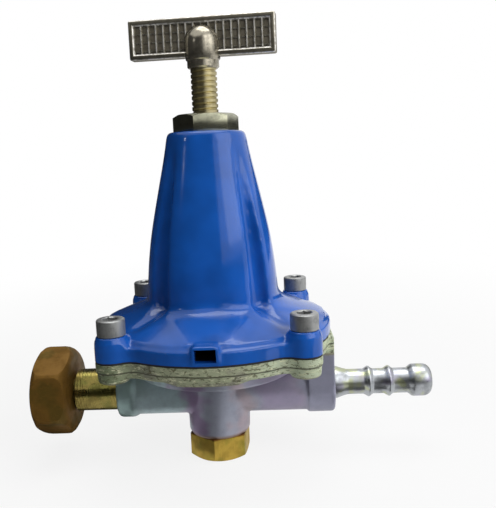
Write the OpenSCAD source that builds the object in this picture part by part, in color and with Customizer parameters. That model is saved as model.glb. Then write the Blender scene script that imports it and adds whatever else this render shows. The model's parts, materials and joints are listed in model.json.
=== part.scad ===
// Adjustable gas pressure regulator: spring-loaded diaphragm type, with a T-handle on the
// adjusting screw, a screwed union at the inlet and a hose barb at the outlet.
// Millimetres. +Z runs up the adjusting screw, -X is the inlet, +X the outlet.
// The origin is the centre of the bottom plug's flat face.

/* [Bottom plug] */
// Width across flats of the plug's hexagon
plug_af = 22; // [20:0.5:23]
// Height of the plug's hexagon, which the part stands on
plug_hex_h = 9.7; // [8:0.1:12]
// Radius of the plug's thread
plug_thread_r = 9; // [8.5:0.1:9.3]
// Length of the plug's thread
plug_thread_h = 8; // [7:0.5:8.5]
// Turn of the plug's hexagon when it is tight
plug_turn = 22.5; // [0:0.5:60]

/* [Body casting] */
// Height of the casting, from its foot to the joint face
body_h = 40.1; // [39.5:0.1:42.7]
// Height of the inlet and outlet axis above the casting's foot
port_rise = 17.8; // [17.3:0.1:18.8]
// Radius of the horizontal tube between the two ports
port_tube_r = 10.4; // [10:0.1:11]
// Distance of the inlet face from the screw axis
inlet_face_x = 39.5; // [38.5:0.5:43]
// Radius of the inlet boss
inlet_boss_r = 11.4; // [11:0.1:12]
// Length of the inlet boss
inlet_boss_l = 6.5; // [4:0.5:8]
// Distance of the outlet face from the screw axis
outlet_face_x = 46.5; // [44:0.5:48]
// Radius of the outlet boss
outlet_boss_r = 11.3; // [11:0.1:12]
// Length of the outlet boss
outlet_boss_l = 10.5; // [8:0.5:12]
// Radius of the valve boss at the casting's foot
valve_boss_r = 12.2; // [12:0.1:13]
// Growth of the valve boss's radius up to the flange, which is its draft
valve_boss_draft = 0.8; // [0:0.1:1]
// Radius of the round flange at the joint
flange_r = 45.6; // [45:0.2:48]
// Radius of the four screw ears
ear_r = 6.2; // [6:0.1:7.5]
// Radius of the hollow blend between ear and flange
ear_blend_r = 6; // [4:0.5:9]
// Distance between neighbouring cap screws, along X and along Y
screw_spacing = 67.4; // [66:0.2:70]
// Thickness of the flange's upper layer
flange_upper_t = 3.2; // [3:0.1:4]
// Thickness of the flange's lower layer
flange_lower_t = 2.4; // [1.5:0.1:2.5]
// How far the lower layer stands back from the upper one
flange_step = 0.5; // [0.2:0.1:1]
// Thickness of the pads under the ears and at the front and back
pad_t = 1.7; // [1:0.1:3]
// Half-width of the front and back pads
mid_pad_w = 12; // [8:0.5:16]
// Radius of the low-pressure bowl
bowl_r = 32; // [30:0.5:34]
// Depth of the low-pressure bowl
bowl_depth = 10.2; // [9.8:0.1:11]
// Wall thickness of the low-pressure bowl
bowl_wall = 3; // [2.5:0.1:4]
// Radius of the high-pressure valve chamber
chamber_r = 7.5; // [7:0.1:8]
// Height of the valve chamber's roof above the port axis
chamber_rise = 5.5; // [5:0.1:6]
// Radius of the inlet passage
inlet_passage_r = 3.5; // [3:0.1:4]
// Radius of the outlet passage and of the riser from the bowl
outlet_passage_r = 3.5; // [3:0.1:4]
// Distance of the outlet riser from the screw axis
riser_x = 20; // [17:0.5:24]

/* [Bonnet] */
// Height of the bonnet, from the joint to its top face
bonnet_h = 78.4; // [77.4:0.5:80.4]
// Height of the wall at the bonnet's rim
rim_h = 4.8; // [4.6:0.1:6]
// Height of the skirt where it meets the cone
skirt_h = 13.4; // [12.9:0.1:14.4]
// Height of the screw bosses on the bonnet's ears
ear_h = 8.5; // [8:0.1:10]
// Radius of the screw bosses at their top
ear_top_r = 5.5; // [5.3:0.1:5.8]
// Radius of the cone where it meets the skirt
cone_foot_r = 25.6; // [25:0.1:26.5]
// Radius of the cone at half height
cone_mid_r = 22.1; // [21.8:0.1:22.8]
// Height of the cone's middle break above the joint
cone_mid_h = 43.9; // [42.4:0.5:45.4]
// Radius of the cone at its shoulder
cone_top_r = 15; // [14.5:0.1:16]
// Edge radius round the bonnet's top
top_edge_r = 1.5; // [0.5:0.1:2.5]
// Radius, at the cone's foot, of the four grooves that part its lobes
groove_r = 4.3; // [3.5:0.1:4.8]
// Radius of the grooves at the cone's top
groove_top_r = 2; // [1.5:0.1:2.5]
// Depth of the grooves at the cone's foot
groove_depth = 2.8; // [1.5:0.1:3.2]
// Radius of the spring chamber
spring_bore_r = 15.5; // [15.2:0.1:16]
// Radius of the spring chamber at its upper end
spring_bore_top_r = 14.2; // [14:0.1:14.6]
// Radius of the breathing space over the diaphragm
breather_r = 38; // [36:0.5:39]
// Width of the vent window in the rim
vent_w = 7.2; // [5:0.2:9]
// Height of the vent window
vent_h = 4.9; // [3:0.1:5]
// Height of the sill under the vent window
vent_sill = 1.3; // [1:0.1:2.5]
// Thickness of the hood round the vent window
vent_hood_t = 1.1; // [0.8:0.1:1.6]
// How far the vent hood stands out from the rim
vent_hood_out = 1.8; // [1:0.1:3]

/* [Cap screws] */
// Nominal radius of the screws
screw_r = 3; // [2.5:0.5:3]
// Radius of a screw head
screw_head_r = 5; // [4.5:0.1:5.5]
// Height of a screw head
screw_head_h = 6; // [5:0.1:6.5]
// Length of a screw under its head
screw_l = 16; // [14:0.2:16.4]
// Width across flats of the hexagon socket
socket_af = 5; // [4:0.5:6]
// Depth of the hexagon socket
socket_depth = 3; // [2:0.1:4]

/* [Adjuster] */
// Radius of the adjusting screw
adj_r = 5; // [4.5:0.5:5]
// Pitch of the adjusting screw's thread
adj_pitch = 2; // [1:0.25:2.25]
// Length of screw that shows between bush and handle
adj_exposed = 16.9; // [16.5:0.1:18]
// Depth of the thread
adj_thread_depth = 0.85; // [0.5:0.05:0.95]
// Radius of the screw's smooth tip
adj_tip_r = 3; // [2.5:0.1:3.4]
// Length of the screw's smooth tip
adj_tip_l = 4; // [3:0.5:6]
// Width across flats of the bush
bush_af = 22; // [20:0.5:23]
// Height of the bush's hexagon
bush_hex_h = 6.5; // [5:0.5:8]
// Radius of the thread that holds the bush
bush_thread_r = 8; // [7.5:0.1:8.5]
// Length of the thread that holds the bush
bush_thread_h = 11.5; // [9:0.5:11.5]
// Turn of the bush's hexagon when it is tight
bush_turn = 13.4; // [0:0.1:60]
// Length of the T-handle's bar
bar_l = 56; // [50:0.5:60]
// Height of the bar
bar_h = 14.6; // [12:0.1:16]
// Thickness of the bar
bar_t = 5; // [4.5:0.1:6]
// Turn of the bar about the screw axis
bar_turn = -7.3; // [-90:0.1:90]
// Width of the raised rim round the bar's faces
bar_rim = 1.8; // [1:0.1:2]
// Depth of the panel inside the rim
bar_recess = 1; // [0.6:0.1:1.4]
// Distance between the upright grip ribs
rib_pitch = 2.85; // [2.4:0.05:4]
// Number of grip rows from top to bottom
rib_rows = 4; // [2:1:5]
// Width of a grip rib
rib_w = 0.4; // [0.3:0.05:0.8]
// Radius of the handle's neck
neck_r = 6.05; // [5.8:0.05:6.3]
// Height of the neck
neck_h = 2; // [1.5:0.1:4]
// Radius of the handle's round boss
hub_r = 6.75; // [6.5:0.05:7.2]
// Height of the round boss's widest place above the neck's lower end
hub_rise = 9.6; // [8:0.1:10]
// Height of the bar's middle above the neck's lower end
bar_rise = 11.6; // [10:0.1:12.5]

/* [Springs and seats] */
// Wire diameter of the main spring
main_wire = 3; // [2.4:0.1:3.2]
// Radius of the main spring at the middle of its wire
main_coil_r = 12.5; // [12.2:0.1:12.6]
// Number of turns of the main spring
main_turns = 8; // [6:1:10]
// Length of the main spring as set
main_length = 51; // [47:0.5:51]
// Thickness of the upper spring seat
upper_seat_t = 3.5; // [3:0.1:4]
// Height of the spigots that centre the main spring
spigot_h = 3; // [2:0.1:4]
// Wire diameter of the valve spring
valve_wire = 0.9; // [0.7:0.1:1]
// Radius of the valve spring at the middle of its wire
valve_coil_r = 3.3; // [3.2:0.1:3.4]
// Number of turns of the valve spring
valve_turns = 7; // [5:1:9]

/* [Diaphragm stack] */
// Thickness of the rubber diaphragm
diaphragm_t = 0.8; // [0.6:0.1:1.2]
// How far the diaphragm's edge stands back from the flange's edge
diaphragm_inset = 0.3; // [0.1:0.1:0.6]
// Radius of the plate over the diaphragm
plate_r = 24; // [20:0.5:26]
// Thickness of the plate
plate_t = 2; // [1.5:0.1:2.5]
// Radius of the washer under the diaphragm
washer_r = 20; // [16:0.5:24]
// Thickness of the washer
washer_t = 1; // [0.8:0.1:1.5]
// Radius of the centre bolt's shank
bolt_r = 3; // [2.5:0.1:3.4]
// Radius of the centre bolt's head, which pushes the valve stem
bolt_head_r = 6; // [5:0.1:8]
// Thickness of the centre bolt's head
bolt_head_t = 2.4; // [2:0.1:2.8]
// Width across flats of the centre nut
nut_af = 10; // [9:0.5:12]
// Thickness of the centre nut
nut_t = 5; // [4:0.5:6]

/* [Valve] */
// Distance that the valve pad stands open from its seat
valve_lift = 1; // [0.6:0.1:1.4]
// Radius of the orifice in the valve seat
orifice_r = 2.3; // [2.1:0.1:2.6]
// Width of the seat's raised lip
lip_w = 0.9; // [0.6:0.1:1.2]
// Height of the seat's raised lip
lip_h = 1; // [0.6:0.1:1.4]
// Radius of the valve seat's thread
seat_thread_r = 5; // [4.6:0.1:5.4]
// Width across flats of the valve seat's head
seat_af = 13; // [12.5:0.5:15]
// Thickness of the valve seat's head
seat_head_t = 2.5; // [2:0.1:3]
// Radius of the poppet
poppet_r = 5.6; // [5.4:0.1:6]
// Thickness of the poppet's back under the pad
poppet_back_t = 3.5; // [3:0.1:4]
// Radius of the rubber valve pad
pad_r = 4.5; // [4.2:0.1:4.8]
// Thickness of the rubber valve pad
pad_seal_t = 2; // [1.6:0.1:2.4]
// Depth to which the pad sits in the poppet
pad_depth = 1.5; // [1:0.1:1.8]
// Radius of the valve stem
stem_r = 1.5; // [1.2:0.1:1.7]
// Radius of the poppet's guide tail
tail_r = 1.9; // [1.6:0.1:2.1]
// Length of the guide tail
tail_l = 17; // [16:0.5:18]
// Depth of the spring pocket in the bottom plug
pocket_depth = 5; // [4:0.5:5.5]

/* [Inlet union] */
// Width across flats of the inlet adaptor
adaptor_af = 16; // [15:0.5:19]
// Length of the adaptor's hexagon
adaptor_l = 18; // [17:0.5:21]
// Turn of the adaptor's hexagon when it is tight
adaptor_turn = 7; // [0:0.5:60]
// Chamfer at the outer end of the adaptor's hexagon
adaptor_chamfer = 1.5; // [0.5:0.1:2]
// Radius of the thread that holds the adaptor in the casting
port_thread_r = 6.5; // [6.3:0.1:7]
// Length of the thread that holds the adaptor
port_thread_l = 10; // [8:0.5:11]
// Radius of the gas passage through the adaptor and the nipple
bore_r = 3; // [2.5:0.1:3.2]
// Radius of the thread between nipple and adaptor
nipple_thread_r = 4.5; // [4.3:0.1:4.7]
// Length of the thread between nipple and adaptor
nipple_thread_l = 8; // [6:0.5:9]
// Radius of the nipple's neck, which the nut turns on
nipple_neck_r = 5.94; // [5.6:0.01:6.2]
// Radius of the nipple's collar, which the nut pulls on
collar_r = 9.6; // [9:0.1:10]
// Thickness of the nipple's collar
collar_t = 2.5; // [2:0.1:3]
// Thickness of the sealing washer on the nose
inlet_washer_t = 2; // [1.5:0.1:2.5]
// How far the nipple's nose stands past its sealing washer
nose_past = 0.2; // [0.1:0.05:0.2]
// Radius of the gas filter's recess
filter_r = 3.6; // [3.4:0.1:3.8]
// Width across flats of the union nut
union_af = 31.5; // [30:0.5:34]
// Length of the union nut
union_l = 14.7; // [14.2:0.1:17]
// Wall radius of the union nut's thread, for a 21.8 mm left-hand valve thread
union_thread_r = 10.4; // [10.2:0.1:10.9]
// Thickness of the union nut's back wall
union_back_t = 3; // [2.5:0.1:3.5]
// Depth of the union nut's rounded corners
union_corner = 3.2; // [2:0.1:4]
// Turn of the union nut's hexagon from corner up
union_turn = 6.5; // [0:0.5:60]

/* [Hose barb] */
// Radius of the barb's tube
barb_tube_r = 5; // [4.8:0.1:5.3]
// Radius of the barb's foot against the casting
barb_foot_r = 6.4; // [6:0.1:8]
// Length of the barb's foot, which tapers to the tube
barb_foot_l = 5.5; // [4:0.5:7]
// Distance of the first ridge from the outlet face
ridge_x = 13.9; // [12:0.1:16]
// Distance between the ridges
ridge_pitch = 8.1; // [7:0.1:10]
// Number of ridges before the barb's bulb
ridge_count = 2; // [1:1:3]
// Radius of a ridge
ridge_r = 6.1; // [5.6:0.1:6.4]
// Length of a ridge's slope
ridge_l = 3; // [2:0.1:4]
// Radius of the bulb at the barb's end
bulb_r = 6.4; // [6:0.1:6.8]
// Length of the bulb, with its round nose
bulb_l = 9.3; // [8:0.1:10]
// Radius of the barb's bore
barb_bore_r = 3.2; // [2.8:0.1:3.6]

/* [Fits] */
// Radial gap between a screwed-in piece and its hole
thread_gap = 0.1; // [0.05:0.01:0.2]
// Radial gap between pieces that turn or slide in each other
running_gap = 0.06; // [0.03:0.01:0.1]
// Gap at the ends of a spring and along the union nut
end_gap = 0.3; // [0.2:0.05:0.4]
// Radial gap round a cap screw in the bonnet
clearance_gap = 0.3; // [0.2:0.05:0.5]
// Radius of the wire of the rubber rings
ring_r = 0.8; // [0.6:0.05:0.9]

/* [Hidden] */
$fn = 72;
eps = 0.01;
// Small step that keeps two cast surfaces from lying in one
layer_step = 0.2;
// Facets in one turn of a spring
coil_facets = 8;

// Heights, from the plug's flat face up
foot_z = plug_hex_h;
port_z = foot_z + port_rise;
joint_z = foot_z + body_h;
bonnet_z = joint_z + diaphragm_t;
bonnet_top_z = bonnet_z + bonnet_h;
bush_top_z = bonnet_top_z + bush_hex_h;
handle_z = bush_top_z + adj_exposed;
bar_z = handle_z + bar_rise;
flange_t = flange_upper_t + flange_lower_t;
bowl_z = joint_z - bowl_depth;
roof_z = port_z + chamber_rise;
plug_top_z = foot_z + plug_thread_h;
pocket_z = plug_top_z - pocket_depth;

// Valve, from its seat down, and the stack that pushes it
lip_z = roof_z - lip_h;
pad_top_z = lip_z - valve_lift;
pad_low_z = pad_top_z - pad_seal_t;
poppet_z = pad_low_z - poppet_back_t;
washer_z = joint_z - washer_t;
bolt_head_z = washer_z - bolt_head_t;
plate_top_z = bonnet_z + plate_t;
spigot_r = (main_coil_r - main_wire / 2) * cos(180 / coil_facets) - end_gap;
nut_z = plate_top_z + spigot_h;

// Spring and adjuster
spring_low_z = plate_top_z + end_gap;
upper_seat_z = plate_top_z + main_length;
upper_seat_top_z = upper_seat_z + upper_seat_t;
tip_pocket = 1.5;
tip_z = upper_seat_top_z - tip_pocket + running_gap;
upper_seat_r = spring_bore_top_r - 0.6;
screw_end_z = handle_z + hub_rise;
spring_bore_top_z = upper_seat_top_z + 5.5;
spring_bore_low_z = bonnet_z + cone_mid_h + 5;

// Bonnet sections, as [radius, height above the joint]
cone = [
    [cone_foot_r, skirt_h],
    [(cone_foot_r + cone_mid_r) / 2 + 0.7, (skirt_h + cone_mid_h) / 2],
    [cone_mid_r, cone_mid_h],
    [cone_top_r, bonnet_h - top_edge_r]
];
groove_foot_x = cone_foot_r - groove_depth + groove_r;
groove_tilt = atan((groove_foot_x - cone_top_r - groove_top_r - 0.6) / (bonnet_h - skirt_h - 7));
screw_seat_z = bonnet_z + ear_h;
ears = [
    ["front_left", -1, -1], ["front_right", 1, -1],
    ["rear_left", -1, 1], ["rear_right", 1, 1]
];

// Inlet, from the casting's face outwards along -X
adaptor_end = inlet_face_x + adaptor_l;
union_back = adaptor_end + end_gap;
union_mouth = union_back + union_l;
collar_back = union_back + union_back_t + end_gap;
collar_face = collar_back + collar_t;
washer_face = collar_face + inlet_washer_t;
nose_end = washer_face + nose_past;
nose_l = nose_end - collar_face;
relief_r = union_thread_r + 0.6;
nose_r = nipple_thread_r;
union_neck_r = nipple_neck_r + running_gap;

// Outlet
barb_end = ridge_x + ridge_count * ridge_pitch - 0.3 + bulb_l;

// The four screw places, at half the spacing from the axis
module at_ears() {
    for (e = ears) translate([e[1], e[2], 0] * screw_spacing / 2) children();
}

// Points along an arc
function arc(centre, r, from, to, steps) = [
    for (i = [0:steps]) let (a = from + (to - from) * i / steps)
        centre + r * [cos(a), sin(a)]
];

// Slab with the flange's outline: a round plate, four ears and the hollow blends between them
module flange_slab(h, grow = 0) {
    ear_d = screw_spacing / sqrt(2);
    round_r = flange_r + grow;
    to_flange = round_r + ear_blend_r;
    to_ear = ear_r + grow + ear_blend_r;
    swing = acos((to_flange ^ 2 + ear_d ^ 2 - to_ear ^ 2) / (2 * to_flange * ear_d));
    hollow = to_flange * [cos(swing), sin(swing)];
    lean = atan2(hollow.y, ear_d - hollow.x);
    quarter = concat(
        arc([hollow.x, -hollow.y], ear_blend_r, 180 - swing, lean, 6),
        arc([ear_d, 0], ear_r + grow, lean - 172, 172 - lean, 22),
        arc(hollow, ear_blend_r, -lean, swing - 180, 6),
        arc([0, 0], round_r, swing + 5, 85 - swing, 12)
    );
    linear_extrude(h) polygon([
        for (turn = [45:90:315]) let (c = cos(turn), s = sin(turn))
            for (p = quarter) [c * p.x - s * p.y, s * p.x + c * p.y]
    ]);
}

// Hexagon bar with a turned chamfer at its lower and upper edge
module turned_hexagon(af, h, low = 0, high = 0) {
    corner = af / sqrt(3);
    inner = corner - 1.9 * max(low, high);
    intersection() {
        cylinder(r = corner, h = h, $fn = 6);
        rotate_extrude() polygon([
            [0, 0], [low > 0 ? inner : corner + 1, 0], [corner + eps, low],
            [corner + eps, h - high], [high > 0 ? inner : corner + 1, h], [0, h]
        ]);
    }
}

// Turned solid along the port axis: side -1 points out of the inlet, 1 out of the outlet
module along_port(side) {
    translate([0, 0, port_z]) rotate([0, side * 90, 0]) children();
}

// Round wire wound into a spring with its end turns closed, standing on z = 0
function coil_height(turn, turns, wire, length) =
    let (closed = wire + 0.5, open = (length - wire - 2 * closed) / (turns - 2))
    wire / 2 + closed * min(turn, 1) + open * max(0, min(turn, turns - 1) - 1)
        + closed * max(0, turn - turns + 1);

module coil_spring(coil_r, wire, turns, length) {
    sides = 6;
    last = turns * coil_facets;
    points = [
        for (ring = [0:last], side = [0:sides - 1])
            let (
                a = ring * 360 / coil_facets,
                b = side * 360 / sides,
                r = coil_r + wire / 2 * cos(b)
            )
            [r * cos(a), r * sin(a),
             coil_height(ring / coil_facets, turns, wire, length) + wire / 2 * sin(b)]
    ];
    walls = [
        for (ring = [0:last - 1], side = [0:sides - 1])
            let (
                a = ring * sides + side,
                b = ring * sides + (side + 1) % sides
            )
            each [[a, a + sides, b], [b, a + sides, b + sides]]
    ];
    ends = [
        for (side = [1:sides - 2])
            each [[0, side, side + 1],
                  [last * sides, last * sides + side + 1, last * sides + side]]
    ];
    polyhedron(points = points, faces = concat(walls, ends));
}

// Zinc casting: ports, valve boss, low-pressure bowl and the flange
module body_casting() {
    color("#a9abb5") difference() {
        union() {
            translate([0, 0, joint_z - flange_upper_t]) flange_slab(flange_upper_t);
            translate([0, 0, joint_z - flange_t]) flange_slab(flange_t - 0.5, -flange_step);
            translate([0, 0, joint_z - flange_t - pad_t]) {
                at_ears() cylinder(r = ear_r - flange_step - layer_step, h = pad_t + 1);
                intersection() {
                    cylinder(r = flange_r - flange_step - layer_step, h = pad_t + 1);
                    translate([-mid_pad_w, -flange_r, 0])
                        cube([2 * mid_pad_w, 2 * flange_r, pad_t + 1]);
                }
            }
            translate([0, 0, bowl_z - bowl_wall])
                cylinder(r1 = bowl_r, r2 = bowl_r + bowl_wall, h = bowl_depth + bowl_wall - 1);
            translate([0, 0, foot_z]) cylinder(
                r1 = valve_boss_r, r2 = valve_boss_r + valve_boss_draft,
                h = body_h - flange_t
            );
            along_port(-1) {
                cylinder(r = port_tube_r, h = inlet_face_x);
                translate([0, 0, inlet_face_x - inlet_boss_l])
                    cylinder(r = inlet_boss_r, h = inlet_boss_l);
            }
            along_port(1) {
                cylinder(r = port_tube_r, h = outlet_face_x);
                translate([0, 0, outlet_face_x - outlet_boss_l])
                    cylinder(r = outlet_boss_r, h = outlet_boss_l);
            }
            translate([outlet_face_x - outlet_boss_l, layer_step - outlet_boss_r, port_z])
                cube([
                    outlet_boss_l - layer_step, 2 * (outlet_boss_r - layer_step),
                    joint_z - port_z - layer_step
                ]);
        }
        translate([0, 0, bowl_z]) cylinder(r = bowl_r, h = bowl_depth + 1);
        translate([0, 0, foot_z - 1]) {
            cylinder(r = plug_thread_r + thread_gap, h = plug_thread_h + 2);
            cylinder(r = plug_thread_r + 2.2 * ring_r + thread_gap, h = 1 + 2.2 * ring_r);
        }
        translate([0, 0, plug_top_z]) cylinder(r = chamber_r, h = roof_z - plug_top_z);
        translate([0, 0, roof_z - 1])
            cylinder(r = seat_thread_r + thread_gap, h = bowl_z - roof_z + 2);
        translate([0, 0, bowl_z - 2 * ring_r])
            cylinder(r = seat_thread_r + 2.2 * ring_r + thread_gap, h = 2 * ring_r + 1);
        along_port(-1) {
            cylinder(r = inlet_passage_r, h = inlet_face_x);
            translate([0, 0, inlet_face_x - port_thread_l - 0.5])
                cylinder(r = port_thread_r + thread_gap, h = port_thread_l + 1);
        }
        along_port(1) {
            translate([0, 0, riser_x]) cylinder(r = outlet_passage_r, h = outlet_face_x - riser_x);
            translate([0, 0, outlet_face_x - port_thread_l - 0.5])
                cylinder(r = port_thread_r + thread_gap, h = port_thread_l + 1);
        }
        translate([riser_x, 0, port_z - outlet_passage_r])
            cylinder(r = outlet_passage_r, h = bowl_z - port_z + outlet_passage_r + 1);
        at_ears() translate([0, 0, joint_z - flange_t - pad_t - 1])
            cylinder(r = screw_r + thread_gap, h = flange_t + pad_t + 2);
    }
}

// Brass plug under the valve: hexagon, thread, spring pocket and guide hole
module bottom_plug() {
    color("#b8923a") difference() {
        rotate(plug_turn) union() {
            turned_hexagon(plug_af, plug_hex_h, low = 1);
            cylinder(r = plug_thread_r, h = plug_hex_h + plug_thread_h);
        }
        translate([0, 0, pocket_z])
            cylinder(r = valve_coil_r + valve_wire / 2 + end_gap, h = pocket_depth + 1);
        translate([0, 0, poppet_z - tail_l - 2])
            cylinder(r = tail_r + running_gap, h = tail_l);
    }
}

// Rubber ring in the recess between plug and casting
module plug_seal() {
    color("#1c1c1e") translate([0, 0, foot_z + 1.1 * ring_r])
        rotate_extrude() translate([plug_thread_r + 1.1 * ring_r + thread_gap / 2, 0])
            circle(r = ring_r, $fn = 32);
}

// Brass valve seat: head in the bowl, thread through its floor, lip over the valve
module valve_seat() {
    color("#c9a045") difference() {
        union() {
            translate([0, 0, bowl_z]) cylinder(r = seat_af / sqrt(3), h = seat_head_t, $fn = 6);
            translate([0, 0, roof_z]) cylinder(r = seat_thread_r, h = bowl_z - roof_z);
            translate([0, 0, lip_z]) cylinder(r = orifice_r + lip_w, h = lip_h);
        }
        translate([0, 0, lip_z - 1])
            cylinder(r = orifice_r, h = bowl_z + seat_head_t - lip_z + 2);
    }
}

// Rubber ring under the valve seat's head
module seat_seal() {
    color("#1c1c1e") translate([0, 0, bowl_z - ring_r])
        rotate_extrude() translate([seat_thread_r + 1.1 * ring_r + thread_gap / 2, 0])
            circle(r = ring_r - 0.05, $fn = 32);
}

// Poppet with its cup, its stem up through the orifice and its guide tail
module valve_poppet() {
    color("#c9a045") difference() {
        union() {
            translate([0, 0, poppet_z]) cylinder(r = poppet_r, h = poppet_back_t + pad_depth);
            translate([0, 0, poppet_z]) cylinder(r = stem_r, h = bolt_head_z - poppet_z);
            translate([0, 0, poppet_z - tail_l]) cylinder(r = tail_r, h = tail_l);
        }
        translate([0, 0, pad_low_z]) difference() {
            cylinder(r = pad_r + thread_gap, h = pad_depth + 1);
            translate([0, 0, -1]) cylinder(r = stem_r, h = pad_depth + 3);
        }
    }
}

// Rubber pad that closes the orifice
module valve_pad() {
    color("#1c1c1e") translate([0, 0, pad_low_z]) difference() {
        cylinder(r = pad_r, h = pad_seal_t);
        translate([0, 0, -1]) cylinder(r = stem_r + thread_gap, h = pad_seal_t + 2);
    }
}

// Light spring that lifts the poppet on to its seat
module valve_spring() {
    color("#8e9096") translate([0, 0, pocket_z + end_gap])
        coil_spring(valve_coil_r, valve_wire, valve_turns, poppet_z - pocket_z - 2 * end_gap);
}

// Rubber sheet clamped between casting and bonnet
module diaphragm() {
    color("#161618") translate([0, 0, joint_z]) difference() {
        union() flange_slab(diaphragm_t, -diaphragm_inset);
        translate([0, 0, -1]) {
            at_ears() cylinder(r = screw_r + clearance_gap, h = diaphragm_t + 2);
            cylinder(r = bolt_r + thread_gap, h = diaphragm_t + 2);
        }
    }
}

// Steel washer under the diaphragm
module diaphragm_washer() {
    color("#b9bcc2") translate([0, 0, washer_z]) difference() {
        cylinder(r = washer_r, h = washer_t);
        translate([0, 0, -1]) cylinder(r = bolt_r + thread_gap, h = washer_t + 2);
    }
}

// Plate over the diaphragm, which seats and centres the main spring
module diaphragm_plate() {
    color("#b9bcc2") translate([0, 0, bonnet_z]) difference() {
        union() {
            cylinder(r = plate_r, h = plate_t);
            cylinder(r = spigot_r, h = plate_t + spigot_h);
        }
        translate([0, 0, -1]) cylinder(r = bolt_r + thread_gap, h = plate_t + spigot_h + 2);
    }
}

// Bolt through the middle of the diaphragm, with its head on the valve stem
module centre_bolt() {
    color("#c9a045") union() {
        translate([0, 0, bolt_head_z]) cylinder(r = bolt_head_r, h = bolt_head_t);
        translate([0, 0, washer_z]) cylinder(r = bolt_r, h = nut_z + nut_t + 1 - washer_z);
    }
}

// Nut that clamps the diaphragm stack
module centre_nut() {
    color("#b9bcc2") translate([0, 0, nut_z]) difference() {
        cylinder(r = nut_af / sqrt(3), h = nut_t, $fn = 6);
        translate([0, 0, -1]) cylinder(r = bolt_r + thread_gap, h = nut_t + 2);
    }
}

// Main spring between the diaphragm plate and the upper seat
module main_spring() {
    color("#77797f") translate([0, 0, spring_low_z])
        coil_spring(main_coil_r, main_wire, main_turns, main_length - 2 * end_gap);
}

// Seat that the adjusting screw presses on the main spring
module upper_spring_seat() {
    color("#b9bcc2") difference() {
        union() {
            translate([0, 0, upper_seat_z]) cylinder(r = upper_seat_r, h = upper_seat_t);
            translate([0, 0, upper_seat_z - spigot_h]) cylinder(r = spigot_r, h = spigot_h);
        }
        translate([0, 0, upper_seat_top_z - tip_pocket])
            cylinder(r = adj_tip_r + end_gap, h = tip_pocket + 1);
    }
}

// Hood round the vent window, cut off at its upper corners
module vent_hood() {
    w = vent_w / 2 + vent_hood_t;
    h = vent_sill + vent_h + vent_hood_t;
    root = 6;
    translate([0, root - flange_r, 0]) rotate([90, 0, 0])
        linear_extrude(root + vent_hood_out) polygon([
            [-w, 0.1], [w, 0.1], [w, h - vent_hood_t], [w - vent_hood_t, h],
            [vent_hood_t - w, h], [-w, h - vent_hood_t]
        ]);
}

// Enamelled bonnet: rim with ears, sloping skirt and the four-lobed cone
module bonnet() {
    wall = 3.5;
    color("#1f57c0") difference() {
        translate([0, 0, bonnet_z]) union() {
            flange_slab(rim_h);
            at_ears() translate([0, 0, rim_h - layer_step])
                cylinder(r1 = ear_r - layer_step, r2 = ear_top_r, h = ear_h - rim_h + layer_step);
            rotate_extrude() polygon(concat(
                [[0, 0], [flange_r - 1, 0], [flange_r - 1, rim_h + 0.6], [flange_r - 3, rim_h + 1.8]],
                cone,
                [[cone_top_r - 0.45 * top_edge_r, bonnet_h - 0.4 * top_edge_r],
                 [cone_top_r - top_edge_r, bonnet_h], [0, bonnet_h]]
            ));
            vent_hood();
        }
        // Grooves between the lobes, which run out below the top
        for (turn = [45:90:315]) rotate(turn)
            translate([groove_foot_x, 0, bonnet_z + skirt_h + 2])
                rotate([0, -groove_tilt, 0])
                    cylinder(r1 = groove_r, r2 = groove_top_r, h = bonnet_h);
        // Breathing space, spring chamber and the bush's thread
        translate([0, 0, bonnet_z]) rotate_extrude() polygon([
            [0, -1], [breather_r, -1], [breather_r, rim_h - 2],
            [plate_r + 1, skirt_h - wall], [spring_bore_r, skirt_h - wall],
            [spring_bore_r, spring_bore_low_z - bonnet_z],
            [spring_bore_top_r, spring_bore_top_z - bonnet_z],
            [bush_thread_r, bonnet_h - bush_thread_h - 0.5],
            [0, bonnet_h - bush_thread_h - 0.5]
        ]);
        translate([0, 0, bonnet_top_z - bush_thread_h - 1])
            cylinder(r = bush_thread_r + thread_gap, h = bush_thread_h + 2);
        translate([-vent_w / 2, -flange_r - vent_hood_out - 1, bonnet_z + vent_sill])
            cube([vent_w, flange_r - breather_r + vent_hood_out + 4, vent_h]);
        at_ears() translate([0, 0, bonnet_z - 1])
            cylinder(r = screw_r + clearance_gap, h = ear_h + 2);
    }
}

// Steel bush screwed into the bonnet, which the adjusting screw runs in
module bonnet_bush() {
    color("#b4ae8c") translate([0, 0, bonnet_top_z]) difference() {
        union() {
            rotate(bush_turn) turned_hexagon(bush_af, bush_hex_h, high = 1);
            translate([0, 0, -bush_thread_h]) cylinder(r = bush_thread_r, h = bush_thread_h);
        }
        translate([0, 0, -bush_thread_h - 1])
            cylinder(r = adj_r + running_gap, h = bush_thread_h + bush_hex_h + 2);
    }
}

// Adjusting screw: turned ridges for its thread, and a smooth tip in the spring seat
module adjusting_screw() {
    ridges = floor((screw_end_z - 1 - tip_z - adj_tip_l) / adj_pitch);
    start = tip_z + adj_tip_l + 1;
    root_r = adj_r - adj_thread_depth;
    color("#b9a860") rotate_extrude() polygon(concat(
        [[0, tip_z], [adj_tip_r, tip_z], [adj_tip_r, tip_z + adj_tip_l], [root_r, start]],
        [
            for (i = [0:ridges - 1]) let (z = start + i * adj_pitch)
                each [[adj_r, z + 0.44 * adj_pitch], [adj_r, z + 0.56 * adj_pitch],
                      [root_r, z + adj_pitch]]
        ],
        [[0, start + ridges * adj_pitch]]
    ));
}

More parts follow.
